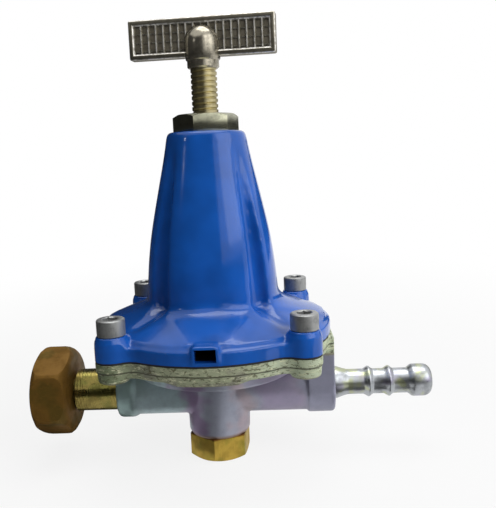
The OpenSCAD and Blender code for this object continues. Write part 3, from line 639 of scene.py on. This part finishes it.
def nickel(colour, turn):
    """Nickel-plated casting, with painted shade in its sunk cells and on its rim, and painted
    highlights in worn patches on its ribs.
    """
    finish = Finish("nickel_casting", metallic=0.85)
    level = finish.moved(turn=(0, 0, -turn))
    depth = abs(finish.along(1, level))
    cloud = finish.noise(3, detail=4, roughness=0.6)
    tone = finish.mix(cloud.ramp(0.42, 0.66) * 0.7, colour, tint(colour, 0.45))
    above = (finish.along(2) - (reach("t_handle")[0].z + 9)).maths("MAXIMUM", 0)
    boss = (finish.along(0) ** 2 + finish.along(1) ** 2) / 47 + above ** 2 / 55
    bar = boss.ramp(0.98, 1.06)
    # Painted shade on the cell floors and the raised rim, painted highlights on the low ribs and
    # the ribs
    floor = bar * (1 - depth.ramp(1.45, 1.6))
    low_rib_highlight = bar * depth.ramp(1.5, 1.6) * (1 - depth.ramp(1.8, 1.95))
    rib = bar * depth.ramp(1.95, 2.1) * (1 - depth.ramp(2.3, 2.45))
    rim = bar * depth.ramp(2.42, 2.48)
    wear_and_highlight = finish.patches(1.6, (0.1, 0, 0), 0.36, 0.58, detail=3)
    # Painted shade darkens rim and cell floors; painted highlights, in worn patches, lighten the
    # low ribs and the ribs
    finish.colour(finish.layered(
        tone, (rim * 0.6, (0.15, 0.14, 0.10)), (floor * 0.55, (0.16, 0.14, 0.10)),
        (low_rib_highlight * wear_and_highlight * 0.35, (0.70, 0.68, 0.60)),
        (rib * (0.3 + 0.7 * wear_and_highlight), (0.95, 0.93, 0.88))))
    finish.rough(0.13 + 0.18 * cloud + 0.07 * bar + 0.3 * floor + 0.25 * rib + 0.1 * rim)
    finish.relief(cloud + 0.4 * finish.noise(0.6, detail=3), 0.05, 0.7)
    return finish.material


def matt(name, colour, grain, depth):
    """Dull rubber, fibre or sintered metal."""
    finish = Finish(name)
    cloud = finish.noise(grain, detail=3)
    finish.colour(finish.mix(cloud, tint(colour, 0.6), tint(colour, 1.5)))
    finish.rough(0.7 + 0.2 * cloud)
    finish.relief(cloud, depth)
    return finish.material


# Pieces

def arc(centre, r, start, end, steps):
    """Points on an arc, with its angles in degrees."""
    angles = [radians(start + (end - start) * i / steps) for i in range(steps + 1)]
    return [(centre[0] + r * cos(a), centre[1] + r * sin(a)) for a in angles]


def four_times(points, first=0.0):
    """The points of a quarter turned round the axis to a whole outline, from a first turn on."""
    turns = [first + i * pi / 2 for i in range(4)]
    return [(cos(a) * x - sin(a) * y, sin(a) * x + cos(a) * y) for a in turns for x, y in points]


def flange_outline(grow=0.0, flange_r=45.6, ear_r=6.2, blend_r=6.0):
    """Edge of the joint: a round plate, four ears and the hollow blends between them."""
    ear_d = EAR * sqrt(2)
    round_r = flange_r + grow
    far, near = round_r + blend_r, ear_r + grow + blend_r
    swing = acos((far ** 2 + ear_d ** 2 - near ** 2) / (2 * far * ear_d))
    hollow = (far * cos(swing), far * sin(swing))
    lean = atan2(hollow[1], ear_d - hollow[0]) * 180 / pi
    swing = swing * 180 / pi
    quarter = (
        arc((hollow[0], -hollow[1]), blend_r, 180 - swing, lean, 5)
        + arc((ear_d, 0), ear_r + grow, lean - 172, 172 - lean, 16)
        + arc(hollow, blend_r, -lean, swing - 180, 5)
        + arc((0, 0), round_r, swing + 5, 85 - swing, 10))
    return four_times(quarter, pi / 4)


class BuildBonnet(bpy.types.Operator):
    """Cast bonnet: rim with screw bosses, sloping skirt and the four-lobed cone."""
    bl_idname = "gas_regulator.bonnet"
    bl_label = "Bonnet"

    def execute(self, context):
        sizes = context.scene.regulator_bonnet
        foot_r, top_r = sizes.foot_radius / MM, sizes.top_radius / MM
        bonnet = self.cone(foot_r, top_r)
        under, rim_top = JOINT_Z - 3, JOINT_Z + 4.8
        skirt = [
            (0, under), (44.7, under), (44.7, rim_top), (43.6, rim_top + 1.6),
            (36.0, 59.9), (30.0, 62.2), (27.4, 63.6), (26.0, 65.4), (25.2, 68.0), (0, 68.0)]
        weld(bonnet, turned("skirt", skirt, sides=96))
        raised = turned("raised", [(0, 54)] + [(r, z + 0.5) for r, z in skirt[3:8]] + [(0, 65.9)])
        star = four_times([(8.4, -43.0), (18.9, -18.9), (43.0, -8.4)])
        keep(raised, prism("star", star, 52, 72))
        weld(bonnet, raised)
        self.grooves(bonnet, foot_r, top_r, sizes.groove_radius / MM)
        rim = prism("rim", flange_outline(), under, rim_top)
        bosses, feet = [], []
        top = reach("cap_screw_front_right")[1].z - HEAD
        for place in EARS:
            bosses.append(rod("boss", place + UP * 53, place + UP * top, 6.2, 5.5))
            feet.append(rod("boss_foot", place + UP * 54, place + UP * 57.4, 7.6, 6.1))
        feet = joined("boss_feet", *feet)
        keep(feet, prism("ear_edge", flange_outline(-0.1), 53, 59))
        web = rod("web", (30, 0, 54.1), (47, 0, 51.7), 5.5, sides=48)
        webs = around(turned_by(web, pi / 4))
        hood = self.hood()
        bonnet = joined("bonnet_shell", bonnet, rim, hood, feet, *bosses, *webs)
        cast(bonnet, sizes.grain, 8)

        def free(vert):
            """Whether a vertex is on skirt or cone, away from rim, hood and screw bosses."""
            x, y, z = vert.co
            return (57.2 * MM < z < (BONNET_TOP - 4) * MM and vert.co.xy.length < 44 * MM
                    and not (y < -37 * MM and abs(x) < 6.5 * MM)
                    and (abs(x) - EAR * MM) ** 2 + (abs(y) - EAR * MM) ** 2 > (7.0 * MM) ** 2)

        with editing(bonnet):
            choose("verts", free)
            bpy.ops.mesh.vertices_smooth(factor=0.5, repeat=44)
        face_off(bonnet, JOINT_Z, keep_above=True)
        cut(bonnet, turned("hollow", [
            (0, JOINT_Z - 1), (38, JOINT_Z - 1), (38, 54), (25, 60.5), (15.5, 60.5),
            (15.5, 99.5), (14.2, 112.6), (8.1, 117), (8.1, BONNET_TOP + 1), (0, BONNET_TOP + 1)]))
        for place in EARS:
            cut(bonnet, rod("screw_hole", place + UP * 49, place + UP * 62, 3.3, sides=32))
        window = block("window", (-3.6, -49, JOINT_Z + 1.3), (3.6, -36, JOINT_Z + 6.2))
        room = block("window_room", (-5.4, -43.4, JOINT_Z - 1), (5.4, -36, JOINT_Z + 5))
        cut(bonnet, window, room)
        finished(bonnet, "housing", "blue_enamel", enamel(sizes.enamel), "bonnet", angle=40)
        return {"FINISHED"}

    def cone(self, foot_r, top_r):
        mid_r = foot_r - 3.5
        flat = 3.4
        levels = [
            (58.0, foot_r + 0.5), (64.0, foot_r), (72.0, foot_r - 0.45), (80.0, foot_r - 1.2),
            (88.0, foot_r - 2.3), (94.5, mid_r), (102.0, mid_r - 1.6), (118.0, top_r + 1.75),
            (BONNET_TOP - 2.2, top_r), (BONNET_TOP - 1.0, top_r - 0.35),
            (BONNET_TOP - 0.3, top_r - 0.9), (BONNET_TOP, top_r - 1.6)]
        z, r = levels[0]
        cone = block("cone", (-r, -r, z - 6), (r, r, z))
        with editing(cone):
            choose("edges", lambda edge: abs(edge.verts[0].co.z - edge.verts[1].co.z) > MM)
            bpy.ops.mesh.bevel(offset=(r - flat) * MM, segments=16, affect="EDGES")
            for (low, r0), (high, r1) in zip(levels, levels[1:]):
                choose("faces", lambda face: face.normal.z > 0.9 and
                       face.calc_center_median().z > (low - 0.01) * MM)
                bpy.ops.mesh.extrude_region_move(
                    TRANSFORM_OT_translate={"value": (0, 0, (high - low) * MM)})
                bpy.ops.transform.resize(
                    value=(r1 / r0, r1 / r0, 1), center_override=(0, 0, high * MM))
        tidy(cone)
        return cone

    def grooves(self, bonnet, foot_r, top_r, groove_r):
        start = Vector((foot_r - 2.8 + groove_r, 0, 64.5))
        end = Vector((top_r + 2.9, 0, BONNET_TOP - 6))
        groove = rod("groove", start, end, groove_r, 2.0, sides=40)
        scoop = rod("scoop", (foot_r - 1.5, 0, 67.2), (41.5, 0, 61.2), groove_r, 4.0, sides=40)
        weld(groove, scoop)
        cut(bonnet, *around(turned_by(groove, pi / 4)))

    def hood(self):
        w, h, chamfer = 4.7, JOINT_Z + 7.3, 1.1
        hood = prism("hood", [
            (-w, -1), (w, -1), (w, h - JOINT_Z - chamfer), (w - chamfer, h - JOINT_Z),
            (chamfer - w, h - JOINT_Z), (-w, h - JOINT_Z - chamfer)], 0, 8)
        stood_up(hood, (0, -39.4, JOINT_Z))
        with editing(hood):
            bpy.ops.mesh.bisect(
                plane_co=(0, -45.9 * MM, (JOINT_Z + 1) * MM), plane_no=(0, -1, -0.28),
                use_fill=True, clear_outer=True)
        return hood


class BuildCasting(bpy.types.Operator):
    """Zinc casting: flange, bowl, valve boss and the two ports."""
    bl_idname = "gas_regulator.casting"
    bl_label = "Body casting"

    def execute(self, context):
        sizes = context.scene.regulator_casting
        top = CASTING_TOP
        tube_r, bore_r, way_r, bore_depth = 10.4, 6.6, 3.5, 10.5
        inlet_boss, outlet_boss = 6.5, 10.5
        parts = [
            prism("upper_layer", flange_outline(), top - 3.2, top + 3),
            prism("lower_layer", flange_outline(-0.5), top - 5.6, top - 2),
            rod("bowl", (0, 0, top - 13.2), (0, 0, top - 1), 32, 35, sides=96),
            turned("valve_boss", [(0, FOOT_Z - 2), (11.4, FOOT_Z - 2), (11.6, FOOT_Z),
                                  (12.3, FOOT_Z + 1), (13.0, top - 6), (0, top - 6)], 96),
            rod("inlet_tube", (0, 0, PORT_Z), (INLET_FACE + 2, 0, PORT_Z), tube_r, sides=96),
            rod("outlet_tube", (0, 0, PORT_Z), (OUTLET_FACE - 2, 0, PORT_Z), tube_r, sides=96),
            turned("inlet_boss", [
                (0, -0.4), (10.9, -0.4), (11.4, 0.8), (11.4, 5.6), (11.0, inlet_boss),
                (0, inlet_boss)], 96, (INLET_FACE + inlet_boss, 0, PORT_Z), IN),
            turned("outlet_boss", [
                (0, 0), (11.1, 0), (11.3, 0.6), (11.3, 9.6), (10.7, outlet_boss),
                (0, outlet_boss)], 96, (OUTLET_FACE - outlet_boss, 0, PORT_Z), OUT),
            block("outlet_pad", (OUTLET_FACE - outlet_boss, -11.1, PORT_Z),
                  (OUTLET_FACE - 0.3, 11.1, top - 0.3)),
        ]
        for place in EARS:
            parts.append(rod("pad", place + UP * (top - 7.2), place + UP * (top - 4), 5.5))
        middle = rod("middle_pads", (0, 0, top - 6.9), (0, 0, top - 4), 44.3, 44.9, sides=128)
        strip = prism("strip", [(-7, -1), (7, -1), (19, 2.6), (-19, 2.6)], -50, 50)
        stood_up(strip, (0, 0, top - 6.9))
        keep(middle, strip)
        casting = joined("valve_casting", *parts, middle)
        cast(casting, sizes.grain, 3)
        face_off(casting, top, keep_above=False)
        face_off(casting, FOOT_Z, keep_above=True)
        cut(casting, turned("bowl_room", [
            (0, 7), (10.86, 7), (10.86, FOOT_Z + 1.76), (9.1, FOOT_Z + 1.77),
            (9.1, FOOT_Z + 8), (7.5, FOOT_Z + 8.01), (7.5, 33), (5.1, 33.01), (5.1, 38),
            (6.86, 38.01), (6.86, 39.6), (29.5, 39.61), (32, 46), (32, 51), (0, 51)]))
        for name, start, end, r, sides in (
                ("inlet_bore", INLET_FACE - 2, INLET_FACE + bore_depth, bore_r, 64),
                ("inlet_way", INLET_FACE, -4, way_r, 32),
                ("outlet_bore", OUTLET_FACE - bore_depth, OUTLET_FACE + 2, bore_r, 64)):
            cut(casting, rod(name, (start, 0, PORT_Z), (end, 0, PORT_Z), r, sides=sides))
        for place in EARS:
            cut(casting, rod("screw_hole", place + UP * 40, place + UP * 52, 3.1, sides=32))
        finished(casting, "housing", "zinc_casting", zinc(sizes.zinc, sizes.flange),
                 "body_casting", angle=40)
        return {"FINISHED"}


class BuildHandle(bpy.types.Operator):
    """Cast T-handle: bar with sunk grip cells, round boss and neck."""
    bl_idname = "gas_regulator.handle"
    bl_label = "T-handle"

    def execute(self, context):
        sizes = context.scene.regulator_handle
        low, high = reach("t_handle")
        foot = low.z
        half_l, half_t, half_h = 28.0, 2.5, 7.3
        middle = high.z - half_h
        rounding, slope = 0.7 * MM, 0.45 * MM
        panel_depth, cell_depth, last_step = 0.35, 0.8, 0.35
        bar = block("grip_bar", (-half_l, -half_t, middle - half_h),
                    (half_l, half_t, middle + half_h))
        width = 2 * (half_l * MM - sizes.rim - slope)
        height = 2 * (half_h * MM - sizes.rim - slope)

        def sunk(depth):
            """Faces of the grip panels that lie at this depth below the bar's sides."""
            def test(face):
                x, y, z = face.calc_center_median()
                return (abs(face.normal.y) > 0.99 and abs(x) < width / 2
                        and abs(z - middle * MM) < height / 2
                        and abs(abs(y) - (half_t - depth) * MM) < 0.05 * MM)
            return test

        with editing(bar):
            choose("edges", lambda edge: True)
            bpy.ops.mesh.bevel(offset=rounding, segments=3, affect="EDGES")
            choose("faces", lambda face: abs(face.normal.y) > 0.99 and face.calc_area() > 1e-4)
            bpy.ops.mesh.inset(thickness=sizes.rim - rounding, use_individual=True)
            bpy.ops.mesh.inset(thickness=slope, depth=-panel_depth * MM, use_individual=True)
            columns = [OUT * (width * (i / sizes.columns - 0.5))
                       for i in range(1, sizes.columns)]
            rows = [UP * (middle * MM + height / 2 - i * sizes.row)
                    for i in range(1, int(height / sizes.row) + 1)]
            for depth, cuts, axis, rib, wall, step in (
                    (panel_depth, columns, OUT, 0.16, 0.14, cell_depth - panel_depth),
                    (cell_depth, rows, UP, 0.2, 0.12, last_step)):
                for place in cuts:
                    choose("faces", sunk(depth))
                    bpy.ops.mesh.bisect(plane_co=place, plane_no=axis)
                choose("faces", sunk(depth))
                bpy.ops.mesh.inset(thickness=rib * MM, use_individual=True)
                bpy.ops.mesh.inset(thickness=wall * MM, depth=-step * MM, use_individual=True)
        turned_by(bar, sizes.turn)
        hub = turned("grip_boss", [
            (0, foot), (5.45, foot), (6.05, foot + 0.6), (6.05, foot + 2.9), (6.5, foot + 3.3),
            (6.75, foot + 4.6), (6.75, foot + 9.0)]
            + [(6.75 * cos(radians(a)), foot + 9.0 + 7.2 * sin(radians(a)))
               for a in range(12, 90, 13)] + [(0, foot + 16.2)], sides=96)
        weld(bar, hub)
        cut(bar, rod("screw_hole", (0, 0, foot - 1), (0, 0, foot + 9.7), SCREW_BORE))
        metal = nickel(sizes.nickel, sizes.turn)
        finished(bar, "adjuster", "nickel_casting", metal, "t_handle")
        bar.name = "grip_handle"
        return {"FINISHED"}


class BuildScrews(bpy.types.Operator):
    """Adjusting screw, its hexagon bush and the four cap screws."""
    bl_idname = "gas_regulator.screws"
    bl_label = "Screws and bush"

    def execute(self, context):
        sizes = context.scene.regulator_screws
        low, high = reach("adjusting_screw")
        root = 5.0 - sizes.depth / MM
        screw = threaded("adjusting_thread", root, 5.0, sizes.pitch / MM, low.z + 5.0, high.z,
                         (0, 0, 0), UP, flat=0.5)
        weld(screw, turned("tip", [(0, low.z), (2.6, low.z), (3, low.z + 0.4), (3, low.z + 4),
                                   (root - 0.1, low.z + 5.1), (root - 0.1, low.z + 6),
                                   (0, low.z + 6)]))
        metal = steel("yellow_plated_steel", sizes.plate, 0.22, 0.35)
        finished(screw, "adjuster", "yellow_plated_steel", metal, "adjusting_screw", angle=30)
        self.bush(sizes)
        self.cap_screws(sizes)
        return {"FINISHED"}

    def bush(self, sizes):
        low, high = reach("bonnet_bush")
        corner = SPANNER / sqrt(3)
        bush = hexagon("hexagon_bush", SPANNER, BONNET_TOP, high.z, 13.4)
        keep(bush, turned("chamfer", [
            (0, BONNET_TOP - 1), (corner + 1, BONNET_TOP - 1), (corner + 1, high.z - 1.3),
            (corner, high.z - 1.1), (corner - 1.9, high.z), (0, high.z)], sides=96))
        weld(bush, rod("bush_thread", (0, 0, low.z), (0, 0, BONNET_TOP + 1), 8.0))
        ease(bush, 0.18, 25)
        cut(bush, rod("bore", (0, 0, low.z - 1), (0, 0, high.z + 1), SCREW_BORE))
        metal = steel("bush_steel", sizes.bush, 0.12, 0.6)
        finished(bush, "housing", "bush_steel", metal, "bonnet_bush", angle=25)

    def cap_screws(self, sizes):
        seat = reach("cap_screw_front_right")[1].z - HEAD
        head = turned("cap_head", [
            (0, seat - 16), (2.6, seat - 16), (3, seat - 15.6), (3, seat), (4.7, seat),
            (5, seat + 0.3), (5, seat + 5.3), (4.9, seat + 5.65), (4.6, seat + 5.9),
            (4.2, seat + HEAD), (0, seat + HEAD)], sides=64, place=EARS[1])
        foot = EARS[1] + UP * seat
        for name, low, high, r0, r1, sides in (
                ("socket", 3.0, 7, 5 / sqrt(3), None, 6), ("drill", 2.2, 3.3, 0.2, 2.5, 32),
                ("countersink", 5.6, 6.4, 2.45, 3.45, 48)):
            cut(head, rod(name, foot + UP * low, foot + UP * high, r0, r1, sides))
        finish = steel("screw_steel", sizes.steel, 0.30, 0.8, (1, 1, 0.1), bare=0.7)
        names = ["cap_screw_front_right", "cap_screw_rear_right", "cap_screw_rear_left",
                 "cap_screw_front_left"]
        for node, piece in zip(names, around(head)):
            piece.name = node.replace("cap_screw", "socket_screw")
            finished(piece, "housing", "screw_steel", finish, node, angle=30)


class BuildUnion(bpy.types.Operator):
    """Bottom plug, inlet adaptor and the union nut."""
    bl_idname = "gas_regulator.union"
    bl_label = "Plug, adaptor and union nut"

    def execute(self, context):
        sizes = context.scene.regulator_ports
        self.plug(sizes)
        self.adaptor(sizes)
        self.nut(sizes)
        return {"FINISHED"}

    def plug(self, sizes):
        corner = SPANNER / sqrt(3)
        plug = hexagon("hexagon_plug", SPANNER, 0, FOOT_Z, 22.5)
        keep(plug, turned("chamfer", [
            (0, 0), (corner - 1.9, 0), (corner, 1.0), (corner + 1, 1.2), (corner + 1, FOOT_Z + 1),
            (0, FOOT_Z + 1)], sides=96))
        ease(plug, 0.25, 25)
        weld(plug, rod("plug_thread", (0, 0, FOOT_Z - 1), (0, 0, FOOT_Z + 8), 9))
        cut(plug, rod("pocket", (0, 0, FOOT_Z + 3), (0, 0, FOOT_Z + 9), 4.05))
        cut(plug, rod("guide", (0, 0, 6.5), (0, 0, FOOT_Z + 4), 1.96, sides=32))
        metal = brass("plug_brass", sizes.plug, 0.4, 0.4, (1, 1, 0.1), seam=FOOT_Z, bare=0.7)
        finished(plug, "housing", "plug_brass", metal, "bottom_plug", angle=25)

    def adaptor(self, sizes):
        end = -reach("inlet_adaptor")[0].x + INLET_FACE
        corner = 16 / sqrt(3)
        adaptor = hexagon("hexagon_adaptor", 16, 0, end, 8, rounding=2.4)
        keep(adaptor, turned("chamfer", [
            (0, 0), (corner + 1, 0), (corner + 1, end - 1.7), (corner, end - 1.5),
            (corner - 2.7, end), (0, end)], sides=96))
        weld(adaptor, rod("adaptor_thread", (0, 0, -10), (0, 0, 1), 6.5))
        cut(adaptor, rod("bore", (0, 0, -11), (0, 0, 30), 3.0, sides=32))
        cut(adaptor, rod("socket", (0, 0, end - 8.5), (0, 0, 30), 4.6, sides=48))
        aim(adaptor, (INLET_FACE, 0, PORT_Z), IN)
        metal = brass("adaptor_brass", sizes.adaptor, 0.2, 0.4, (1, 0.1, 0.1), 0.25)
        finished(adaptor, "housing", "plug_brass", metal, "inlet_adaptor", angle=25)

    def nut(self, sizes):
        low, high = reach("union_nut")
        back, mouth = -high.x, -low.x
        length = mouth - back
        corner = 31.5 / sqrt(3)
        nut = hexagon("brass_union_nut", 31.5, 0, length, 36.5)
        keep(nut, turned("rounding", [
            (0, 0), (corner - 4.4, 0), (corner - 3.3, 0.35), (corner - 1.6, 1.4),
            (corner - 0.7, 2.6), (corner - 0.35, 4.2), (corner - 0.35, length - 4.2),
            (corner - 0.7, length - 2.6), (corner - 1.6, length - 1.4),
            (corner - 3.3, length - 0.35), (corner - 4.4, length), (0, length)], sides=128))
        ease(nut, 0.3, 22, segments=3)
        cut(nut, turned("room", [
            (0, -1), (6.0, -1), (6.0, 3), (11.0, 3.01), (11.0, 8.1), (10.4, 8.4), (10.4, 16),
            (0, 16)]))
        cut(nut, threaded("thread", 10.3, 10.95, sizes.nut_pitch / MM, 8.0, length + 2,
                          (0, 0, 0), UP))
        cut(nut, rod("lead", (0, 0, length - 1.2), (0, 0, length + 0.1), 10.4, 11.7, sides=96))
        aim(nut, (-back, 0, PORT_Z), IN)
        metal = brass("nut_brass", sizes.nut, 0.5, 0.35, (0.3, 1, 1), bare=0.4)
        finished(nut, "union", "nut_brass", metal, "union_nut", angle=25)


class BuildBarb(bpy.types.Operator):
    """Hose barb: tapered foot, ridged tube and round-nosed bulb."""
    bl_idname = "gas_regulator.barb"
    bl_label = "Hose barb"

    def execute(self, context):
        sizes = context.scene.regulator_ports
        end = reach("hose_barb")[1].x - OUTLET_FACE
        bulb = end - 9.3
        profile = [
            (3.2, -10), (6.3, -10), (6.5, -9.6), (6.5, 0), (6.4, 0.02), (6.4, 1.2), (5.5, 3.8),
            (5.05, 5.5), (5, 6), (5, 11.9)]
        for ridge in (13.9, 22.0):
            profile += [(5.0, ridge - 1.9), (5.6, ridge - 0.8), (6.05, ridge - 0.1),
                        (6.1, ridge + 0.25), (6.02, ridge + 0.55), (5.5, ridge + 1.1),
                        (5.0, ridge + 1.9)]
        profile += [(5, bulb - 0.4), (5.3, bulb + 0.2), (6.2, bulb + 1.3), (6.4, bulb + 2.0),
                    (6.4, end - 3.4)]
        profile += [(3.4 + 3.0 * cos(radians(a)), end - 3.4 + 3.4 * sin(radians(a)))
                    for a in range(15, 91, 15)]
        profile += [(3.3, end - 0.05), (3.2, end - 0.2), (3.2, -10)]
        barb = turned("ridged_barb", profile, 72, (OUTLET_FACE, 0, PORT_Z), OUT)
        finished(barb, "housing", "barb_steel",
                 steel("barb_steel", sizes.barb, 0.23, 0.7, hues=0.5), "hose_barb", angle=30)
        return {"FINISHED"}


class BuildSprings(bpy.types.Operator):
    """Main and valve spring, each a coil of round wire."""
    bl_idname = "gas_regulator.springs"
    bl_label = "Springs"

    def execute(self, context):
        finish = steel("spring_wire", (0.25, 0.25, 0.26), 0.4)
        self.spring("main_spring", "spring_seat", 3, 8, finish)
        self.spring("valve_spring", "valve", 0.9, 7, finish)
        return {"FINISHED"}

    def spring(self, node, body, wire, turns, finish):
        low, high = reach(node)
        gap = 0.05
        middle_r = (high.x - low.x) / 2 - wire / 2 - gap
        rise = high.z - low.z - wire - 2 * gap
        bpy.ops.mesh.primitive_circle_add(
            vertices=12, radius=wire / 2 * MM, rotation=(pi / 2, 0, 0),
            location=Vector((middle_r, 0, low.z + wire / 2 + gap)) * MM)
        spring = added(f"{node}_wire")
        steps = 32 * turns
        shape(spring, "SCREW", angle=2 * pi * turns, screw_offset=rise * MM, iterations=1,
              steps=steps, render_steps=steps)
        with editing(spring):
            bpy.ops.mesh.fill_holes(sides=0)
        tidy(spring)
        coated(spring, finish, angle=50)
        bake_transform(spring)
        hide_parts(node)


class FinishInside(bpy.types.Operator):
    """Finishes for the solids that are carried over as they are."""
    bl_idname = "gas_regulator.inside"
    bl_label = "Inner pieces"

    def execute(self, context):
        finishes = {
            "seal_rubber": matt("seal_rubber", (0.02, 0.02, 0.022), 0.8, 0.02),
            "fibre": matt("fibre", (0.25, 0.05, 0.03), 0.5, 0.03),
            "sintered_bronze": matt("sintered_bronze", (0.33, 0.18, 0.07), 0.3, 0.1),
            "turned_brass": brass("turned_brass", (0.58, 0.40, 0.12), 0.25, 0.3),
            "plated_steel": steel("plated_steel", (0.50, 0.50, 0.52), 0.3),
        }
        for part in frame["record"]["subparts"]:
            finish = finishes.get(part["material_slot"])
            if finish:
                materials = frame["nodes"][part["node"]].data.materials
                materials.clear()
                materials.append(finish)
        return {"FINISHED"}


class BuildStudio(bpy.types.Operator):
    """Pale floor, soft lights and the camera."""
    bl_idname = "gas_regulator.studio"
    bl_label = "Studio"

    def execute(self, context):
        settings = context.scene.regulator_studio
        self.camera(context.scene)
        self.world(context.scene, settings.ambient)
        self.floor(settings.floor)
        self.cards()
        self.light("key_light", (0.82, -0.74, 0.75), 0.08, 1.1, 0.9, settings.key)
        fill = self.light("fill_light", (1.02, -0.41, 0.75), 0.08, 1.1, 0.9, settings.fill)
        fill.visible_glossy = False
        self.light("top_light", (0.1, 0.1, 1.3), 0.06, 0.9, 0.9, settings.top)
        self.light("edge_light", (-0.72, -0.60, 0.53), 0.12, 0.05, 0.04, settings.edge)
        context.scene.view_settings.view_transform = "Standard"
        return {"FINISHED"}

    def camera(self, scene):
        yaw, pitch, roll = 1.47, 8.35, -2.21
        data = bpy.data.cameras.new("camera")
        camera = bpy.data.objects.new("camera", data)
        scene.collection.objects.link(camera)
        matrix = Matrix.Translation((0.02135, -0.2510, 0.11886))
        for angle, axis in ((yaw, "Z"), (90 - pitch, "X"), (roll, "Z")):
            matrix = matrix @ Matrix.Rotation(radians(angle), 4, axis)
        camera.matrix_world = matrix
        tall_px = 508
        data.sensor_width = 36
        data.lens = 644.3 * data.sensor_width / tall_px
        data.shift_x, data.shift_y = -1.9 / tall_px, -2.5 / tall_px
        data.clip_start = 0.01
        scene.camera = camera

    def world(self, scene, ambient):
        """White surround that lights the object at its ambient strength only."""
        scene.world = bpy.data.worlds.new("studio")
        scene.world.use_nodes = True
        nodes = Nodes(scene.world.node_tree)
        back = nodes.tree.nodes["Background"].inputs
        seen = nodes.rays("Camera", "Glossy", "Transmission")
        nodes.feed(back["Color"], (1, 1, 1))
        nodes.feed(back["Strength"], ambient + (1 - ambient) * seen)

    def floor(self, colour):
        """Pale floor that shows the object's soft shadow on a nearly white ground."""
        bpy.ops.mesh.primitive_plane_add(size=8, location=(0, 0, 0))
        floor = added("studio_floor")
        finish = Finish("floor_paper")
        cloud = finish.noise(400, detail=1) * 0.2
        finish.colour(finish.mix(cloud, tuple(colour), tint(colour, 0.97)))
        finish.rough(0.9)
        seen = finish.rays("Camera", "Glossy")
        far = (abs(finish.along(0)) + abs(finish.along(1))).ramp(150, 700)
        glow = finish.node("ShaderNodeEmission", {}, {"Color": (1, 1, 1), "Strength": 1.0})
        blend = finish.node("ShaderNodeMixShader", {}, {0: seen * (0.85 + 0.15 * far), 2: glow})
        finish.tree.links.new(finish.shader.outputs[0], blend.socket.node.inputs[1])
        output = finish.tree.nodes["Material Output"]
        finish.tree.links.new(blend.socket, output.inputs["Surface"])
        floor.data.materials.append(finish.material)

    def cards(self):
        """Dark cards that only show in reflections: painted shadow and dark ground on the table
        round the object, and painted dark surroundings upright round it.
        """
        # The table card reaches under the nut, adaptor and barb, where it paints the floor's
        # shadow into their reflections
        outline = [
            (-38, -8), (-14, -9), (-2, -17), (18, -70), (50, -90), (50, -13), (76, -13),
            (76, -100), (150, -150), (1100, -600), (200, -1300), (-1500, -1300), (-1500, 500),
            (-1300, 1400), (-250, 1600), (-110, 120), (-38, 40), (-38, -5), (-66, -5),
            (-66, -48), (-42, -50)]
        table = chain("table_card", [(*point, 1) for point in outline])
        with editing(table):
            bpy.ops.mesh.edge_face_add()
        upright = []
        for height, *points in (
                (1.4, (200, -1300), (-1500, -1300), (-1500, 500)),
                (0.22, (200, -1300), (1100, -700)),
                (1.8, (-1500, 500), (-1300, 1400), (-250, 1600)),
                (0.3, (500, 1500), (1400, 800))):
            card = chain("upright_card", [(*point, 1) for point in points])
            upright.append(card)
            with editing(card):
                bpy.ops.mesh.extrude_region_move(TRANSFORM_OT_translate={"value": UP * height})
        cards = joined("dark_cards", table, *upright)
        finish = Finish("dark_card")
        cloud = finish.noise(300, detail=1)
        finish.colour(finish.mix(cloud, (0.02, 0.02, 0.02), (0.03, 0.03, 0.03)))
        finish.rough(0.9)
        cards.data.materials.append(finish.material)
        cards.visible_camera = cards.visible_diffuse = cards.visible_shadow = False
        cards.visible_transmission = False

    def light(self, name, place, target_z, width, height, power):
        """Soft light at a place, aimed at a height on the object's axis."""
        data = bpy.data.lights.new(name, "AREA")
        data.shape = "RECTANGLE"
        data.size, data.size_y, data.energy = width, height, power
        light = bpy.data.objects.new(name, data)
        bpy.context.scene.collection.objects.link(light)
        light.location = place
        way = UP * target_z - Vector(place)
        light.rotation_euler = way.to_track_quat("-Z", "Y").to_euler()
        return light


class RegulatorPanel(bpy.types.Panel):
    """Sizes, colours and build steps of the gas regulator"""
    bl_idname = "VIEW3D_PT_gas_regulator"
    bl_label = "Gas regulator"
    bl_space_type = "VIEW_3D"
    bl_region_type = "UI"
    bl_category = "Gas regulator"

    def draw(self, context):
        for operator, group in STEPS:
            box = self.layout.box()
            if group:
                settings = getattr(context.scene, group)
                for key in settings.__annotations__:
                    box.prop(settings, key)
            box.operator(operator.bl_idname)


GROUPS = {
    "regulator_bonnet": BonnetSizes, "regulator_casting": CastingSizes,
    "regulator_handle": HandleSizes, "regulator_screws": ScrewSizes,
    "regulator_ports": PortSizes, "regulator_studio": StudioSettings,
}
STEPS = [
    (BuildBonnet, "regulator_bonnet"), (BuildCasting, "regulator_casting"),
    (BuildHandle, "regulator_handle"), (BuildScrews, "regulator_screws"),
    (BuildUnion, "regulator_ports"), (BuildBarb, None), (BuildSprings, None),
    (FinishInside, None), (BuildStudio, "regulator_studio"),
]


def register():
    for name, group in GROUPS.items():
        bpy.utils.register_class(group)
        setattr(bpy.types.Scene, name, PointerProperty(type=group))
    for operator, _ in STEPS:
        bpy.utils.register_class(operator)
    bpy.utils.register_class(RegulatorPanel)


def unregister():
    bpy.utils.unregister_class(RegulatorPanel)
    for operator, _ in reversed(STEPS):
        bpy.utils.unregister_class(operator)
    for name, group in GROUPS.items():
        delattr(bpy.types.Scene, name)
        bpy.utils.unregister_class(group)


def main():
    register()
    for operator, _ in STEPS:
        folder, name = operator.bl_idname.split(".")
        getattr(getattr(bpy.ops, folder), name)()


if __name__ == "__main__":
    main()
